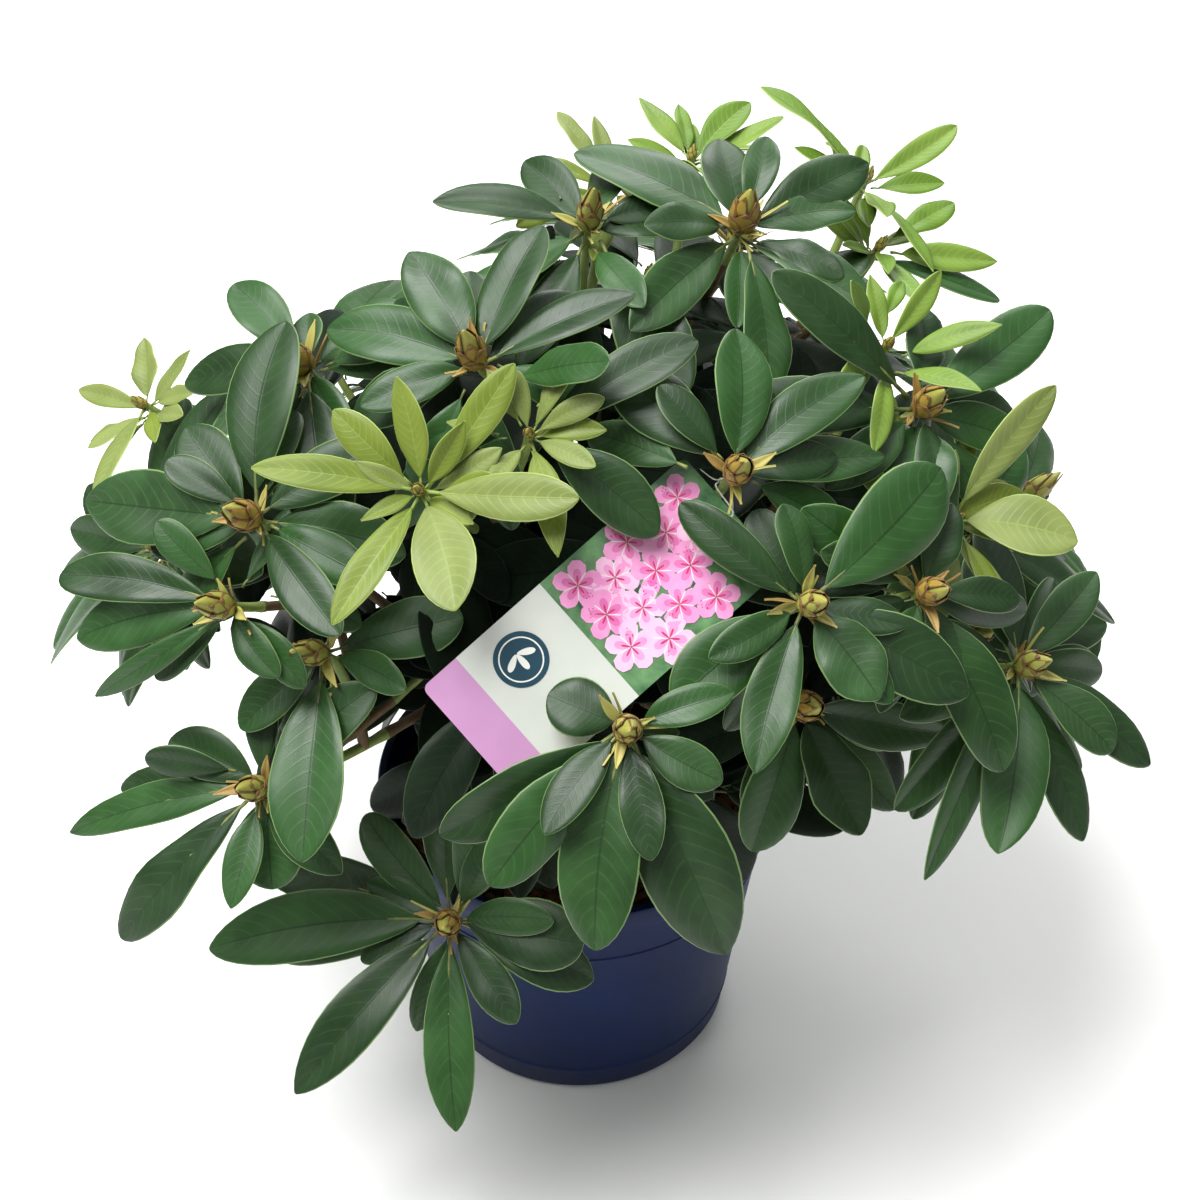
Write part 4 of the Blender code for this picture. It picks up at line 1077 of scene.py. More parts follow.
LEAF_ROWS = 16
LEAF_COLUMNS = (-1, -0.96, -0.67, -0.34, -0.05, 0.05, 0.34, 0.67, 0.96, 1)
STALK_SHARE = 0.10
BLADE_DEPTH = 0.00055
STALK_RADIUS = 0.0013
# How far the rib lies below the face, the rim behind it, and the stalk under the blade.
RIB_GROOVE = 0.0003
RIM_DROP = 0.0004
STALK_DROP = 0.0009
# The least half width of a blade, at its ends.
LEAST_HALF = 0.0006
# How far a blade curls down at its rim and waves along it, as shares of its half width, and how
# much its tip may twist.
RIM_CURL = 0.16
RIM_WAVE = 0.10
TIP_TWIST = 0.22
# The length of leaf at which the stalk and the rib have their full size.
FULL_LENGTH = 0.1

# The outline of each kind, as the powers of its rise from the stalk and of its fall to the tip.
OUTLINES = {"mature": (0.80, 0.58), "pale": (0.88, 0.74), "old": (0.80, 0.60), "bract": (0.55, 0.95)}


def pattern_of(thing, slots, maps=None):
    mesh = thing.data
    points = np.empty(len(mesh.vertices) * 3)
    mesh.vertices.foreach_get("co", points)
    corners = np.empty(len(mesh.loops), np.int64)
    mesh.loops.foreach_get("vertex_index", corners)
    starts = np.array([face.loop_start for face in mesh.polygons])
    bpy.data.objects.remove(thing)
    points = points.reshape(-1, 3)
    return Pattern(points, starts, corners, np.array(slots), points[:, :2] if maps is None else maps)


def joined_patterns(first, second):
    return Pattern(np.vstack([first.points, second.points]),
                   np.concatenate([first.starts, second.starts + len(first.corners)]),
                   np.concatenate([first.corners, second.corners + len(first.points)]),
                   np.concatenate([first.slots, second.slots]),
                   np.vstack([first.maps, second.maps]))


def blade_pattern():
    """The blade: x is the share of the leaf's length, y the share of its half width, and z is 0 on
    the face and -1 on the back."""
    columns = len(LEAF_COLUMNS) - 1
    blade = thick_grid(LEAF_ROWS, columns, 1)
    for vert in blade.data.vertices:
        row = round((vert.co.x + 0.5) * LEAF_ROWS)
        share = 0.5 - 0.5 * math.cos(math.pi * row / LEAF_ROWS)
        vert.co.y = LEAF_COLUMNS[round((vert.co.y + 0.5) * columns)]
        vert.co.x = STALK_SHARE + (1 - STALK_SHARE) * share
    slots = []
    for face in blade.data.polygons:
        if face.center.z < -0.75:
            slots.append(UNDERSIDE)
        else:
            slots.append(RIM if face.center.z < -0.25 or abs(face.center.y) > 0.97 else BLADE)
    pattern = pattern_of(blade, slots)
    along, across = pattern.points[:, 0], pattern.points[:, 1]
    return pattern._replace(maps=np.column_stack([along, 0.5 + across / 2]))


def stalk_pattern():
    """The stalk and the rib under the blade: x is the share of the leaf's length, and y and z lie on
    a circle of radius 1 that narrows to the tip. Its map is off the leaf, which marks its points."""
    stations = (0.0, 0.05, STALK_SHARE, 0.2, 0.45, 0.7, 0.9)
    sizes = (1.25, 0.95, 0.9, 0.75, 0.55, 0.38, 0.15)
    stalk = tubes("stalk", [([Vector((x, 0, 0)) for x in stations], sizes)], 1, None)
    count = len(stalk.data.vertices)
    return pattern_of(stalk, [STALK] * len(stalk.data.polygons), np.full((count, 2), -1.0))


def leaf_points(leaf, pattern, dice):
    """The pattern's points bent to one leaf of the crown."""
    along, across, over = pattern.points.T
    stalk = pattern.maps[:, 0] < 0
    rise, drop = OUTLINES[leaf.kind]
    rise *= dice.uniform(0.85, 1.2)
    drop *= dice.uniform(0.85, 1.25)
    t = np.clip((along - STALK_SHARE) / (1 - STALK_SHARE), 0, 1)
    peak = (rise / (rise + drop)) ** rise * (drop / (rise + drop)) ** drop
    outline = t ** rise * (1 - t) ** drop / peak
    half = leaf.width / 2
    breadth = half * np.maximum(outline, LEAST_HALF / half)
    scale = min(leaf.length / FULL_LENGTH, 1.15)
    side_way = across * breadth
    lift = np.abs(side_way) * leaf.fold * dice.uniform(0.8, 2.0)
    lift -= breadth * RIM_CURL * np.abs(across) ** 3 * dice.uniform(0.3, 1.4)
    phase, waves = dice.uniform(0, 6.3), dice.uniform(1.0, 2.4)
    wave = np.sin(2 * math.pi * waves * along + phase)
    lift += breadth * RIM_WAVE * across * wave * dice.uniform(0, 1.5)
    lift += side_way * along * math.tan(dice.gauss(0, TIP_TWIST))
    lift += over * BLADE_DEPTH
    lift -= np.where(np.abs(across) > 0.99, RIM_DROP, 0) * (1 + over)
    lift -= np.where(np.abs(across) < 0.1, RIB_GROOVE * scale, 0) * (1 + over)
    thick = STALK_RADIUS * max(scale, 0.45)
    sunk = np.where(along > STALK_SHARE * 0.8, STALK_DROP, 0.0)
    side_way = np.where(stalk, across * thick, side_way)
    lift = np.where(stalk, over * thick - sunk, lift)
    arch = along * (1 - along) * 4 * leaf.length
    side_way = side_way + dice.uniform(-0.04, 0.04) * arch
    lift = lift + dice.uniform(-0.02, 0.045) * arch
    base, heading, fall = (np.array(part) for part in (leaf.base, leaf.heading, leaf.fall))
    side, face = np.array(leaf.side), np.array(leaf.face)
    return (base + np.outer(along * leaf.length, heading) + np.outer(along ** 2, fall)
            + np.outer(side_way, side) + np.outer(lift, face))


def many(name, copies):
    """One mesh of many bent patterns. Each copy is (points, pattern, slot of each of its faces)."""
    point_count = corner_count = 0
    points, starts, corners, slots, maps = [], [], [], [], []
    for placed_points, pattern, face_slots in copies:
        points.append(placed_points)
        starts.append(pattern.starts + corner_count)
        corners.append(pattern.corners + point_count)
        slots.append(face_slots)
        maps.append(pattern.maps[pattern.corners])
        point_count += len(placed_points)
        corner_count += len(pattern.corners)
    mesh = bpy.data.meshes.new(name)
    mesh.vertices.add(point_count)
    mesh.loops.add(corner_count)
    mesh.polygons.add(sum(len(part) for part in starts))
    mesh.vertices.foreach_set("co", np.concatenate(points).ravel())
    mesh.loops.foreach_set("vertex_index", np.concatenate(corners))
    mesh.polygons.foreach_set("loop_start", np.concatenate(starts))
    mesh.polygons.foreach_set("material_index", np.concatenate(slots))
    mesh.update(calc_edges=True)
    leaf_map = mesh.uv_layers.new(name="leaf_map")
    leaf_map.uv.foreach_set("vector", np.concatenate(maps).astype(np.float32).ravel())
    mesh.shade_smooth()
    return new_object(name, mesh)


# The masses of each side of the crown, whose leaves are joined.
SIDES = {
    "front": ("front", "front_low", "front_left", "right_low"),
    "left": ("left", "left_low", "left_crest"),
    "right": ("right", "right_high", "right_reach", "centre"),
    "top": ("top", "top_left", "top_right"),
    "back": ("back", "back_left"),
    "back_right": ("back_right", "back_low"),
}

# Leaves whose ends stay within this share of the crown's reach hardly see the sky and take painted
# shade, the near-black
# shade tones: first in the crown's front half and then in its back half. An end is taken at
# SHADE_PLACE along the leaf.
DEEP_SHADE = (0.75, 0.60)
SHADE_PLACE = 0.8
# Each piece of leaves on a side: how its name starts, and the looks that it joins.
LEAF_PIECES = (("leaves_", ("mature", "old", "shade")), ("new_leaves_", ("pale",)),
               ("bud_bracts_", ("bract",)))


def look_of(leaf):
    """The tones that a leaf takes: its own kind's, or deep in the crown those of the painted shade."""
    if leaf.kind in ("pale", "bract") or leaf.by_hand:
        return leaf.kind
    inward = leaf.place(SHADE_PLACE, 0, 0) - CROWN_CENTRE
    share = Vector([part / reach for part, reach in zip(inward, CROWN_REACH)]).length
    return "shade" if share < DEEP_SHADE[inward.y > 0] else leaf.kind


def make_leaves(leaves):
    pattern = joined_patterns(blade_pattern(), stalk_pattern())
    finishes = {look: leaf_finishes(look) for look in TONES}
    for side, masses in SIDES.items():
        for title, looks in LEAF_PIECES:
            copies, used, first_slots = [], [], {}
            for look in looks:
                first_slots[look] = len(used)
                used += finishes[look]
            for number, leaf in enumerate(leaves):
                look = look_of(leaf)
                if look not in looks or leaf.mass not in masses:
                    continue
                dice = random.Random(SEED * 77 + number)
                tone = dice.randrange(len(TONES[look]))
                if look == "pale":
                    tone = tone % 2 + (2 if leaf.mass in HARDENED else 0)
                first = first_slots[look]
                trims = first + len(TONES[look]) - 1
                slots = np.where(pattern.slots == BLADE, first + tone, trims + pattern.slots)
                copies.append((leaf_points(leaf, pattern, dice), pattern, slots))
            if copies:
                thing = dress(many(title + side, copies), *used)
                solids = ["foliage_" + mass for mass in masses]
                finished(thing, title + side, solids)


# ---- Stems and buds -------------------------------------------------------------------------------


# How often the bark's fissures change along each axis, how often its lumps do, and their depths.
FISSURES = (700, 700, 110)
LUMPS = 90
FISSURE_DEPTH = 0.0007
LUMP_DEPTH = 0.0009


def make_bark(limbs):
    """The stem and boughs, with shallow fissures that run along them."""
    runs = []
    for path, radii in limbs.values():
        points, sizes = fine_path(path, radii, 6)
        runs.append((points, sizes))
    thing = tubes("bark_limbs", runs, 6, listed("brown_bark"))
    for vert in thing.data.vertices:
        along = Vector([part * often for part, often in zip(vert.co, FISSURES)])
        lumps = Vector(vert.co) * LUMPS
        vert.co += vert.normal * (FISSURE_DEPTH * noise.noise(along) + LUMP_DEPTH * noise.noise(lumps))
    solids = ["main_stem"] + ["bough_" + name for name in BOUGHS]
    finished(smooth(thing, 60), "bark_limbs", solids)


# The ring where a twig turns green: how far along it lies, how much that varies, and its swelling.
RING_SHARE = 0.45
RING_SPREAD = 0.2
RING_SWELL = 1.22


def make_twigs(twigs):
    """Each twig is brown where it is old and green near its tip, with a swollen ring between."""
    old_runs, young_runs = [], []
    for number, twig in enumerate(twigs):
        points, sizes = fine_path(twig.path, twig.radii, 5)
        turn = round(len(points) * (RING_SHARE + RING_SPREAD * math.sin(number * 1.7)))
        sizes[turn] *= RING_SWELL
        old_runs.append((points[:turn + 1], sizes[:turn + 1]))
        young_runs.append((points[turn:], sizes[turn:]))
    for name, runs, skin, slot in (("old_twigs", old_runs, "brown_twig", "bark"),
                                   ("young_shoots", young_runs, "green_shoot", "foliage")):
        finished(smooth(tubes(name, runs, 3, listed(skin)), 60), name)


SCALES = 12
SPIRAL_TURN = 2.39996
CORE, SCALE, SCALE_EDGE, GREEN_SCALE = range(4)


def bud_width(height):
    """The radius of a bud at this share of its height, for a widest radius of 1."""
    return (height + 0.06) ** 0.5 * (1.03 - height) ** 1.05 / 0.394


def bud_scale(number):
    """One of the bud's scales, bowed round it: the outer, lower ones are broad, the inner slim."""
    foot = 0.60 * (number / SCALES) ** 1.2
    height = 0.40 + 0.08 * math.sin(number * 1.9) * (number / SCALES)
    scale = thick_grid(4, 4, 2)
    slots = []
    for face in scale.data.polygons:
        edge = abs(face.center.x) > 0.6 or face.center.y > 0.6 or face.center.z < -0.2
        slots.append(SCALE_EDGE if edge else SCALE)
    for vert in scale.data.vertices:
        up = 0.5 + 0.5 * vert.co.y
        across = math.copysign(math.sqrt(abs(vert.co.x)), vert.co.x)
        spread = 1.15 * (1 - 0.45 * number / SCALES) * (1 - up ** 2.2) + 0.03
        angle = number * SPIRAL_TURN + across * spread
        level = min(foot + height * up, 1.0)
        lie = bud_width(level) + 0.10 + 0.16 * up ** 2 - 0.05 * abs(across) + 0.07 * vert.co.z
        vert.co = (lie * math.cos(angle), lie * math.sin(angle), level)
    return pattern_of(scale, slots)


def bud_pattern():
    """A pointed bud of height 1 and radius 1: a core, and scales that overlap up it in a spiral."""
    deselect_all()
    bpy.ops.mesh.primitive_uv_sphere_add(segments=10, ring_count=8, radius=1)
    core = bpy.context.object
    for vert in core.data.vertices:
        height = 0.5 + 0.5 * vert.co.z
        flat = Vector((vert.co.x, vert.co.y))
        if flat.length > 1e-6:
            flat = flat.normalized() * bud_width(height) * 0.93
        vert.co = (flat.x, flat.y, height)
    bud = pattern_of(core, [CORE] * len(core.data.polygons))
    for number in range(SCALES):
        bud = joined_patterns(bud, bud_scale(number))
    return bud


# The size of a flower bud and of a leaf bud beside the solids' bud, as (radius, length).
FLOWER_BUD = (1.12, 1.25)
LEAF_BUD = (0.45, 0.5)
GREEN_BUD_SHARE = 0.4
# How far the dice vary a bud's radius and length, as shares, and how far they tip it over.
BUD_RADIUS_SPREAD = (0.88, 1.12)
BUD_LENGTH_SPREAD = (0.82, 1.15)
BUD_LEAN = 0.12


def make_buds(buds):
    """A fat scaly flower bud on the mature shoots, and a slim leaf bud on the others."""
    pattern = bud_pattern()
    skins = [listed(name) for name in ("bud_core", "bud_scale_ochre", "bud_scale_edge",
                                       "bud_scale_green")]
    flower, leafy = [], []
    for number, (whorl, bud) in enumerate(buds):
        dice = random.Random(SEED * 31 + number)
        big = has_flower_bud(whorl, bud)
        stout, tall = FLOWER_BUD if big else LEAF_BUD
        radius = BUD_RADIUS * stout * dice.uniform(*BUD_RADIUS_SPREAD)
        length = BUD_LENGTH * tall * dice.uniform(*BUD_LENGTH_SPREAD)
        lean = Vector([dice.uniform(-BUD_LEAN, BUD_LEAN) for _ in range(2)] + [0])
        turn = (bud.axis + lean).to_track_quat("Z", "Y").to_matrix()
        turn = turn @ Matrix.Rotation(dice.uniform(0, 6.28), 3, "Z")
        points = (pattern.points * (radius, radius, length)) @ np.array(turn).T
        foot = np.array(bud.tip - bud.axis * 0.001)
        slots = pattern.slots.copy()
        if not big or dice.random() < GREEN_BUD_SHARE:
            slots[slots == SCALE] = GREEN_SCALE
        (flower if big else leafy).append((points + foot, pattern, slots))
    for copies, title in ((flower, "flower_buds"), (leafy, "leaf_buds")):
        finished(dress(many(title, copies), *skins), title)


# ---- Pot and soil ---------------------------------------------------------------------------------

POT_SIDES = 112
# The foot is bevelled: its flat ring's inset, then the steps of its edge up to the wall.
FOOT_INSET = 0.0030
FOOT_EDGE_INSET = 0.0010
FOOT_EDGE = 0.0012
FOOT_TOP = 0.0040
# The raised bands round the wall, as (foot, top, how proud), how far their edges slope, and the
# wall's height between them.
LOW_BAND = (0.020, 0.024, 0.0006)
HIGH_BAND = (0.150, 0.155, 0.0008)
BAND_EDGE = 0.001
POT_MIDDLE = 0.100
# How the lip is rounded, in steps of (inwards from its face, up from its start or down from the rim),
# and how far its inner edge and the floor's edge are.
LIP_START = ((0.0006, 0.0), (0.0, 0.0012))
LIP_END = ((0.0, 0.0022), (0.0008, 0.0005), (0.0018, 0.0))
INNER_EDGE = (0.0008, 0.0010)
FLOOR_EDGE = 0.0012


def make_pot():
    """The pot, drawn up ring by ring from its foot, over its rolled lip and down its inside."""
    slope = (POT_RIM_RADIUS - POT_BASE_RADIUS) / POT_HEIGHT
    lip = POT_RIM_RADIUS + POT_LIP_PROUD
    under_lip = POT_HEIGHT - POT_LIP_HEIGHT

    def wall(height):
        return POT_BASE_RADIUS + slope * height

    def band(low, high, proud):
        edges = [(wall(edge) + proud, edge) for edge in (low + BAND_EDGE, high - BAND_EDGE)]
        return [(wall(low), low), *edges, (wall(high), high)]

    inner = POT_RIM_RADIUS - POT_WALL
    rings = [(POT_BASE_RADIUS - FOOT_EDGE_INSET, FOOT_EDGE), (wall(FOOT_TOP), FOOT_TOP)]
    rings += band(*LOW_BAND) + [(wall(POT_MIDDLE), POT_MIDDLE)] + band(*HIGH_BAND)
    rings.append((wall(under_lip), under_lip - BAND_EDGE))
    rings += [(lip - inset, under_lip + rise) for inset, rise in LIP_START]
    rings += [(lip - inset, POT_HEIGHT - drop) for inset, drop in LIP_END]
    rings += [(inner + INNER_EDGE[0], POT_HEIGHT), (inner, POT_HEIGHT - INNER_EDGE[1])]
    rings.append((wall(POT_MIDDLE) - POT_WALL, POT_MIDDLE))
    rings.append((wall(POT_WALL) - POT_WALL - FLOOR_EDGE, POT_WALL))
    deselect_all()
    foot = POT_BASE_RADIUS - FOOT_INSET
    bpy.ops.mesh.primitive_circle_add(vertices=POT_SIDES, radius=foot, fill_type="NGON")
    pot = bpy.context.object
    last_radius, last_height = foot, 0.0
    with editing(pot):
        for radius, height in rings:
            growth = radius / last_radius
            bpy.ops.mesh.extrude_region_move(
                TRANSFORM_OT_translate={"value": (0, 0, height - last_height)})
            bpy.ops.transform.resize(value=(growth, growth, 1), center_override=(0, 0, height))
            last_radius, last_height = radius, height
        bpy.ops.mesh.select_all(action="SELECT")
        bpy.ops.mesh.normals_make_consistent(inside=False)
    for hole in range(POT_HOLES):
        turn = 2 * math.pi * (hole + 0.5) / POT_HOLES
        place = (POT_HOLE_RING * math.cos(turn), POT_HOLE_RING * math.sin(turn), 0)
        drill(pot, place, POT_HOLE_RADIUS, POT_WALL * 6, 20)
    dress(pot, listed("navy_pot_plastic", Specular_IOR_Level=PLASTIC_SHEEN))
    finished(smooth(pot, 30), "nursery_pot", ["pot"])


CHIPS = 330
# How far from the middle chips lie and the compost's raised middle runs out, and how proud they sit.
CHIP_REACH = 0.117
SOIL_REACH = 0.122
CHIP_PROUD = 0.0015
# A chip's length, breadth and depth, each from the least to the most.
CHIP_SIZES = ((0.008, 0.022), (0.004, 0.009), (0.002, 0.004))
# The axes a chip is turned about, each with the least and the most.
CHIP_TURNS = (("Z", 0, 6.28), ("X", -0.4, 0.4), ("Y", -0.35, 0.35))


def make_soil():
    """The compost keeps its solid, under a litter of bark chips."""
    dress(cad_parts["soil"], listed("dark_compost"))
    deselect_all()
    bpy.ops.mesh.primitive_cube_add(size=1)
    chip = bpy.context.object
    with editing(chip):
        bpy.ops.mesh.subdivide(number_cuts=1)
        bpy.ops.mesh.bevel(offset=0.08, segments=1)
    for vert in chip.data.vertices:
        vert.co *= 1 + 0.35 * noise.noise(vert.co * 2.3)
    pattern = pattern_of(chip, [0] * len(chip.data.polygons))
    dice = random.Random(SEED)
    copies = []
    for _ in range(CHIPS):
        ring = CHIP_REACH * math.sqrt(dice.uniform(0.03, 1))
        turn = dice.uniform(0, 2 * math.pi)
        level = SOIL_LEVEL + SOIL_CROWN * (1 - ring / SOIL_REACH) - 0.002
        size = [dice.uniform(least, most) for least, most in CHIP_SIZES]
        turned = Matrix.Identity(3)
        for axis, least, most in CHIP_TURNS:
            turned = turned @ Matrix.Rotation(dice.uniform(least, most), 3, axis)
        spot = np.array((ring * math.cos(turn), ring * math.sin(turn), level + CHIP_PROUD))
        copies.append(((pattern.points * size) @ np.array(turned).T + spot, pattern, pattern.slots))
    thing = dress(many("bark_chips", copies), listed("bark_chips"))
    finished(smooth(thing, 40), "bark_chips")


# ---- Label ----------------------------------------------------------------------------------------

CARD_CORNER = 0.004
CARD_STEPS = 30
# The card's finish: its roughness, grain and relief, the blotches of its ink and its clear coat.
CARD_ROUGHNESS = 0.28
CARD_GRAIN = 900
CARD_RELIEF = 0.03
INK_BLOTCH = 90
CARD_COAT = 0.4
# The three tints of the card, each as two colours and how many blotches lie in a metre.
CARD_TINTS = {"white": ("CDD0C9", "C4C8C0", 20), "pink_band": ("C191BA", "B987B2", 20),
              "leafy_ground": ("2E5A38", "6E9A66", 70)}
# The band and the picture end at these shares of the card's length, from its middle.
BAND_END = -0.74
PICTURE_START = -0.10


def on_card(x, y, z):
    """Turns card coordinates in metres, x along it from its middle, into a place on the bowed card."""
    return label_place(x * 2 / LABEL_LENGTH, y * 2 / LABEL_WIDTH, z)


def make_card():
    """The card: rounded corners, a punched hole, printed by areas, then bowed."""
    white, band, ground = (
        finish("card_" + name, one, two, CARD_ROUGHNESS, blotch, CARD_GRAIN, CARD_RELIEF,
               Coat_Weight=CARD_COAT)
        for name, (one, two, blotch) in CARD_TINTS.items())
    deselect_all()
    bpy.ops.mesh.primitive_cube_add(size=1)
    card = bpy.context.object
    bpy.ops.transform.resize(value=(LABEL_LENGTH, LABEL_WIDTH, LABEL_THICKNESS))
    bpy.ops.object.transform_apply(scale=True)
    with editing(card):
        bpy.ops.mesh.select_mode(type="EDGE")
        bpy.ops.mesh.select_all(action="DESELECT")
    for edge in card.data.edges:
        ends = [card.data.vertices[i].co for i in edge.vertices]
        edge.select = abs(ends[0].z - ends[1].z) > LABEL_THICKNESS / 2
    with editing(card):
        bpy.ops.mesh.bevel(offset=CARD_CORNER, segments=5, affect="EDGES")
    hole = (LABEL_LENGTH / 2 - LABEL_HOLE_INSET, 0, 0)
    drill(card, hole, LABEL_HOLE_RADIUS, 0.01, 24)
    cuts = [(step / CARD_STEPS - 0.5) * LABEL_LENGTH for step in range(1, CARD_STEPS)]
    with editing(card):
        for x in cuts + [BAND_END * LABEL_LENGTH / 2, PICTURE_START * LABEL_LENGTH / 2]:
            bpy.ops.mesh.select_all(action="SELECT")
            bpy.ops.mesh.bisect(plane_co=(x, 0, 0), plane_no=(1, 0, 0))
    dress(card, white, band, ground)
    for face in card.data.polygons:
        x = face.center.x * 2 / LABEL_LENGTH
        if face.center.z > LABEL_THICKNESS * 0.4:
            face.material_index = 1 if x < BAND_END else (2 if x > PICTURE_START else 0)
    for vert in card.data.vertices:
        vert.co = on_card(*vert.co)
    tidy_mesh(card)
    finished(smooth(card, 30), "picture_card", ["plant_label"])


PRINT_LEVEL = LABEL_THICKNESS / 2 + 0.00008
PRINT_STEP = 0.000025
# The inks of the card's picture, in the order of its slots, as two tones each.
INKS = {
    "pale_pink": ("EFB0D6", "F4C6E0"), "pink": ("E68CC2", "ECA2CE"),
    "deep_pink": ("D866A8", "E07CB4"), "crimson": ("B8245E", "C83A6E"),
    "teal": ("10394A", "134052"), "cream": ("E8E9E2", "E0E2DA"),
    "light_leaf": ("7FA878", "97B88C"), "dark_leaf": ("1F4A2E", "2C5C39"),
}
PRINT_CRIMSON, PRINT_TEAL, PRINT_CREAM, PRINT_LEAF = range(3, 7)
# The rows of blossoms on the picture, and the room that it keeps at its two ends.
LEAVES_PRINTED = 34
BLOSSOMS = 14
ROW_STEP = 0.0170
COLUMN_STEP = 0.0215
FIRST_ROW = 0.0155
LAST_ROW = 0.016
FRECKLES = 6
# The mark: its middle on the card, and its rings as (radius, level, slot).
MARK_MIDDLE = (-0.043, -0.016)
MARK_RINGS = ((0.0150, 8, PRINT_TEAL), (0.0122, 9, PRINT_CREAM), (0.0114, 10, PRINT_TEAL))


def petal_outline(length, width, ruffle=0.0):
    """A petal along +X from its claw, as a ring of points in its own plane."""
    points = []
    for step in range(18):
        turn = 2 * math.pi * step / 18
        swell = 1 + ruffle * math.sin(step * 2.7)
        x = length * (0.52 + 0.48 * math.cos(turn) * swell)
        points.append((x, width / 2 * math.sin(turn) * swell * (0.55 + 0.45 * x / length)))
    return points


def print_shapes():
    """(outline on the card, level, slot) of each printed shape: loose rows of generic blossoms over
    leaves, and a plain disc with three petals."""
    dice = random.Random(SEED + 5)
    shapes = []

    def add(outline, place, turn, level, slot):
        cos, sin = math.cos(turn), math.sin(turn)
        ring = [(place[0] + x * cos - y * sin, place[1] + x * sin + y * cos) for x, y in outline]
        shapes.append((ring, level, slot))

    start, end = PICTURE_START * LABEL_LENGTH / 2, LABEL_LENGTH / 2
    for number in range(LEAVES_PRINTED):
        spot = (dice.uniform(start + 0.014, end - 0.020), dice.uniform(-0.026, 0.026))
        add(petal_outline(dice.uniform(0.010, 0.013), 0.006), spot, dice.uniform(0, 6.3),
            number % 4, PRINT_LEAF + number % 2)
    for number in range(BLOSSOMS):
        row, column = divmod(number, 3)
        x = start + FIRST_ROW + row * ROW_STEP + dice.uniform(-0.0015, 0.0015)
        y = (column - 1) * COLUMN_STEP + (0.006 if row % 2 else -0.004)
        if x > end - LAST_ROW:
            continue
        size, twist = dice.uniform(0.0125, 0.0142), dice.uniform(0, 6.3)
        tone = dice.choice((0, 1, 1))
        for petal in range(5):
            turn = twist + petal * 2 * math.pi / 5
            level = 6 + (number % 3) * 3
            add(petal_outline(size, size * 0.92, 0.05), (x, y), turn, level + petal * 0.1, tone)
            add(petal_outline(size * 0.66, size * 0.40), (x, y), turn, level + 1, tone + 1)
            add(petal_outline(size * 0.40, size * 0.10), (x, y), turn, level + 1.5, PRINT_CRIMSON)
            add(petal_outline(size * 0.62, size * 0.05), (x, y), turn + 0.6, level + 1.8, PRINT_CREAM)
        for _ in range(FRECKLES):
            turn, far = twist + dice.uniform(-0.4, 0.4), size * dice.uniform(0.35, 0.7)
            spot = (x + far * math.cos(turn), y + far * math.sin(turn))
            add(petal_outline(0.0009, 0.0008), spot, turn, level + 2, PRINT_CRIMSON)
    disc = [(math.cos(a), math.sin(a)) for a in (2 * math.pi * i / 40 for i in range(40))]
    for radius, level, slot in MARK_RINGS:
        add([(x * radius, y * radius) for x, y in disc], MARK_MIDDLE, 0, level, slot)
    root = (MARK_MIDDLE[0], MARK_MIDDLE[1] - 0.004)
    for turn in (0.5, 1.57, 2.64):
        add(petal_outline(0.0105, 0.0046), root, turn, 11, PRINT_CREAM)
    return shapes


def make_print():
    """The card's picture, each shape a thin film of ink that is closed on all sides."""
    finishes = [finish("print_" + name, *pair, CARD_ROUGHNESS, INK_BLOTCH, CARD_GRAIN,
                       Coat_Weight=CARD_COAT)
                for name, pair in INKS.items()]
    points, faces, slots = [], [], []
    for ring, level, slot in print_shapes():
        height = PRINT_LEVEL + level * PRINT_STEP
        first, count = len(points), len(ring)
        low = [on_card(x, y, PRINT_LEVEL - 0.0002) for x, y in ring]
        points += [on_card(x, y, height) for x, y in ring] + low
        faces.append(list(range(first, first + count)))
        faces.append(list(range(first + 2 * count - 1, first + count - 1, -1)))
        for i in range(count):
            j = (i + 1) % count
            faces.append((first + j, first + i, first + count + i, first + count + j))
        slots += [slot] * (count + 2)
    mesh = bpy.data.meshes.new("card_print")
    mesh.from_pydata(points, [], faces)
    thing = dress(new_object("card_print", mesh), *finishes)
    mesh.polygons.foreach_set("material_index", slots)
    finished(thing, "card_print")


THREAD_RADIUS = 0.00045
# The loose ends beyond the knot, and the knot's turns.
THREAD_ENDS = (((0.004, -0.002, 0.004), (0.011, -0.003, 0.006)),
               ((-0.005, -0.003, 0.003), (-0.012, -0.001, 0.008)))
KNOT_RADIUS = 0.0011
KNOT_POINTS = 18
KNOT_TURN = 0.7


def make_thread(loop):
    """The label's loop, a pale thread, with a small knot and two loose ends at the twig."""
    closed = loop + loop[:2]
    knot = loop[len(loop) // 2]
    runs = [(closed, [THREAD_RADIUS] * len(closed))]
    for places in THREAD_ENDS:
        path = [knot] + [knot + Vector(place) for place in places]
        runs.append(fine_path(path, [THREAD_RADIUS, THREAD_RADIUS * 0.8, THREAD_RADIUS * 0.5], 4))
    turns = [knot + Vector((KNOT_RADIUS * math.cos(a), KNOT_RADIUS * math.sin(a), 0.0004 * a - 0.003))
             for a in (i * KNOT_TURN for i in range(KNOT_POINTS))]
    runs.append((turns, [THREAD_RADIUS] * len(turns)))
    thing = tubes("label_thread", runs, 2, listed("pale_thread"))
    finished(smooth(thing, 60), "label_thread", ["label_tie"])


# ---- Studio ---------------------------------------------------------------------------------------


LAMP_SIZE = 2.6
LAMP_TARGET = Vector((0, 0, 0.3))
# The camera: its focal length and sensor in millimetres, its place, and its turn in degrees.
LENS = 68.32
SENSOR = 36
CAMERA_PLACE = (0, -1.09735, 1.26310)
CAMERA_TURN = (90 - 39.7086, 0, -0.76725)
FLOOR_SIZE = 14
FLOOR_PLACE = (0, 2, -0.0004)


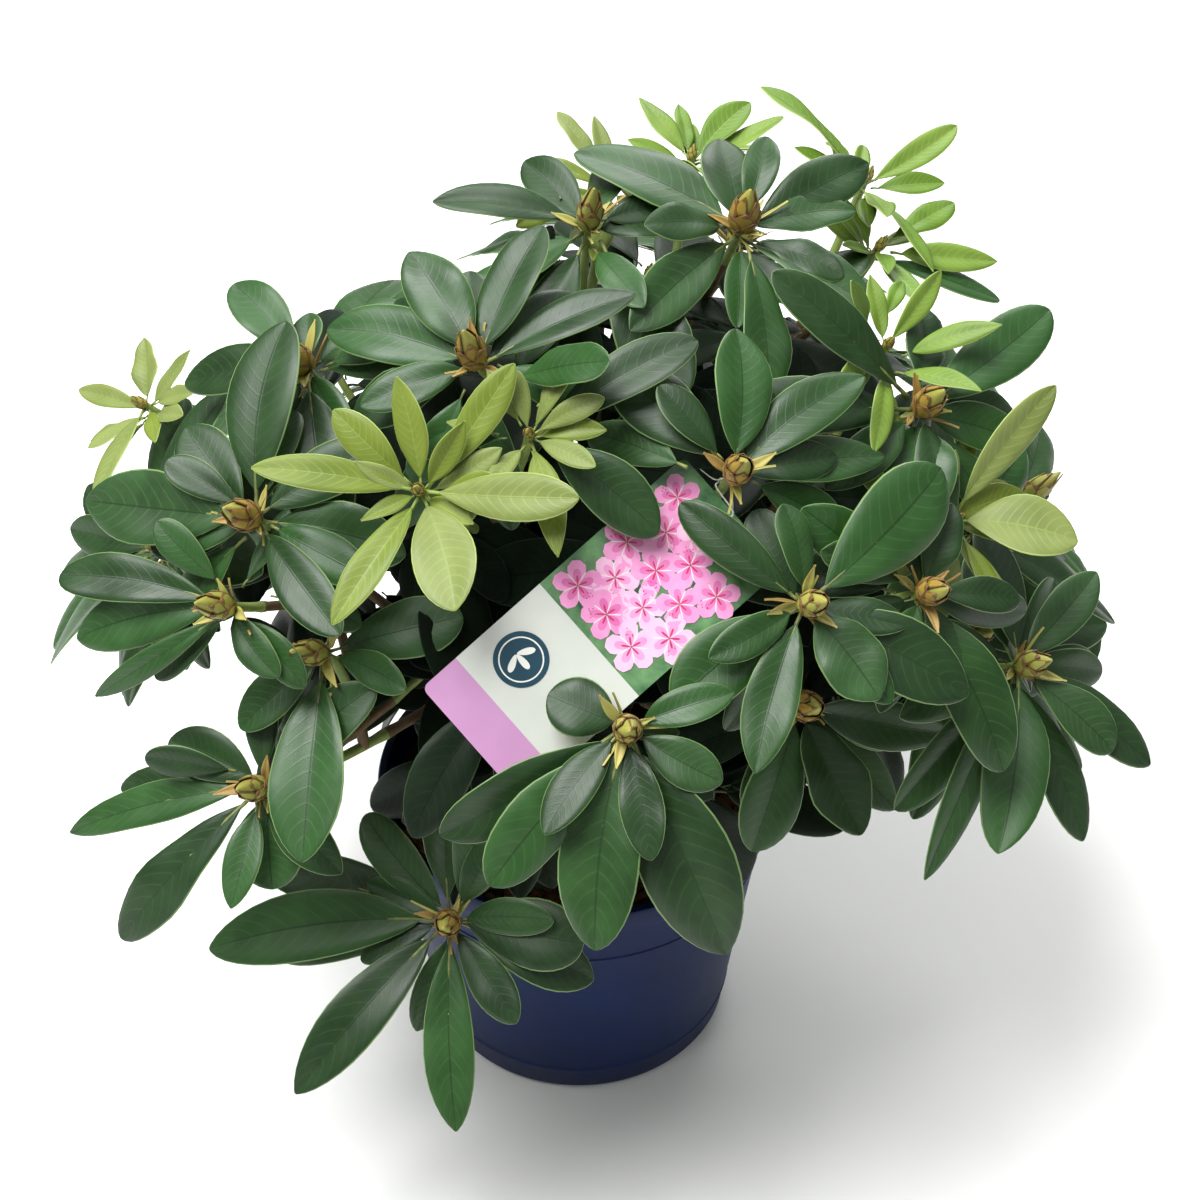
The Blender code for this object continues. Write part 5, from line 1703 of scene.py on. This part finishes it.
def area_light(name, place, power):
    lamp = bpy.data.lights.new(name, "AREA")
    lamp.shape = "DISK"
    lamp.size = LAMP_SIZE
    lamp.energy = power
    thing = new_object(name, lamp)
    thing.location = place
    way = LAMP_TARGET - Vector(place)
    thing.rotation_euler = way.to_track_quat("-Z", "Y").to_euler()


# How bright the backdrop looks, and the sky near the horizon and overhead.
BACKDROP = 0.92
HORIZON, ZENITH = 0.03, 0.68


def make_sky():
    """Soft daylight, bright overhead and dim near the horizon, before a pale backdrop."""
    world = bpy.data.worlds.new("soft_daylight")
    world.use_nodes = True
    tree = world.node_tree
    place = tree.nodes.new("ShaderNodeTexCoord")
    split = tree.nodes.new("ShaderNodeSeparateXYZ")
    tree.links.new(place.outputs["Generated"], split.inputs["Vector"])
    rise = ranged(tree, split.outputs["Z"], From_Min=0.05, From_Max=0.85, To_Min=HORIZON,
                  To_Max=ZENITH)
    tree.nodes["Background"].inputs["Color"].default_value = (0.97, 0.985, 1.0, 1)
    rays = tree.nodes.new("ShaderNodeLightPath")
    seen = reckon(tree, "MULTIPLY", rays.outputs["Is Camera Ray"], BACKDROP)
    strength = reckon(tree, "MAXIMUM", rise, seen)
    tree.links.new(strength, tree.nodes["Background"].inputs["Strength"])
    bpy.context.scene.world = world


def make_studio():
    """A pale floor under soft light, and the camera that looks down at the plant from the front."""
    deselect_all()
    bpy.ops.mesh.primitive_plane_add(size=FLOOR_SIZE, location=FLOOR_PLACE)
    floor = bpy.context.object
    dress(floor, listed("pale_floor"))
    placed(floor)
    floor.name = "floor"
    make_sky()
    area_light("key", (-1.3, -0.6, 4.0), 270)
    area_light("back", (0.8, 3.2, 3.2), 120)
    lens = bpy.data.cameras.new("camera")
    lens.lens = LENS
    lens.sensor_width = SENSOR
    camera = new_object("camera", lens)
    camera.location = CAMERA_PLACE
    camera.rotation_euler = [math.radians(turn) for turn in CAMERA_TURN]
    bpy.context.scene.camera = camera
    bpy.context.scene.view_settings.view_transform = "Standard"


def main():
    limbs, twigs, buds, leaves, loop = grow_fine()
    make_leaves(leaves)
    make_twigs(twigs)
    make_buds(buds)
    make_bark(limbs)
    make_pot()
    make_soil()
    make_card()
    make_print()
    make_thread(loop)
    make_studio()


main()
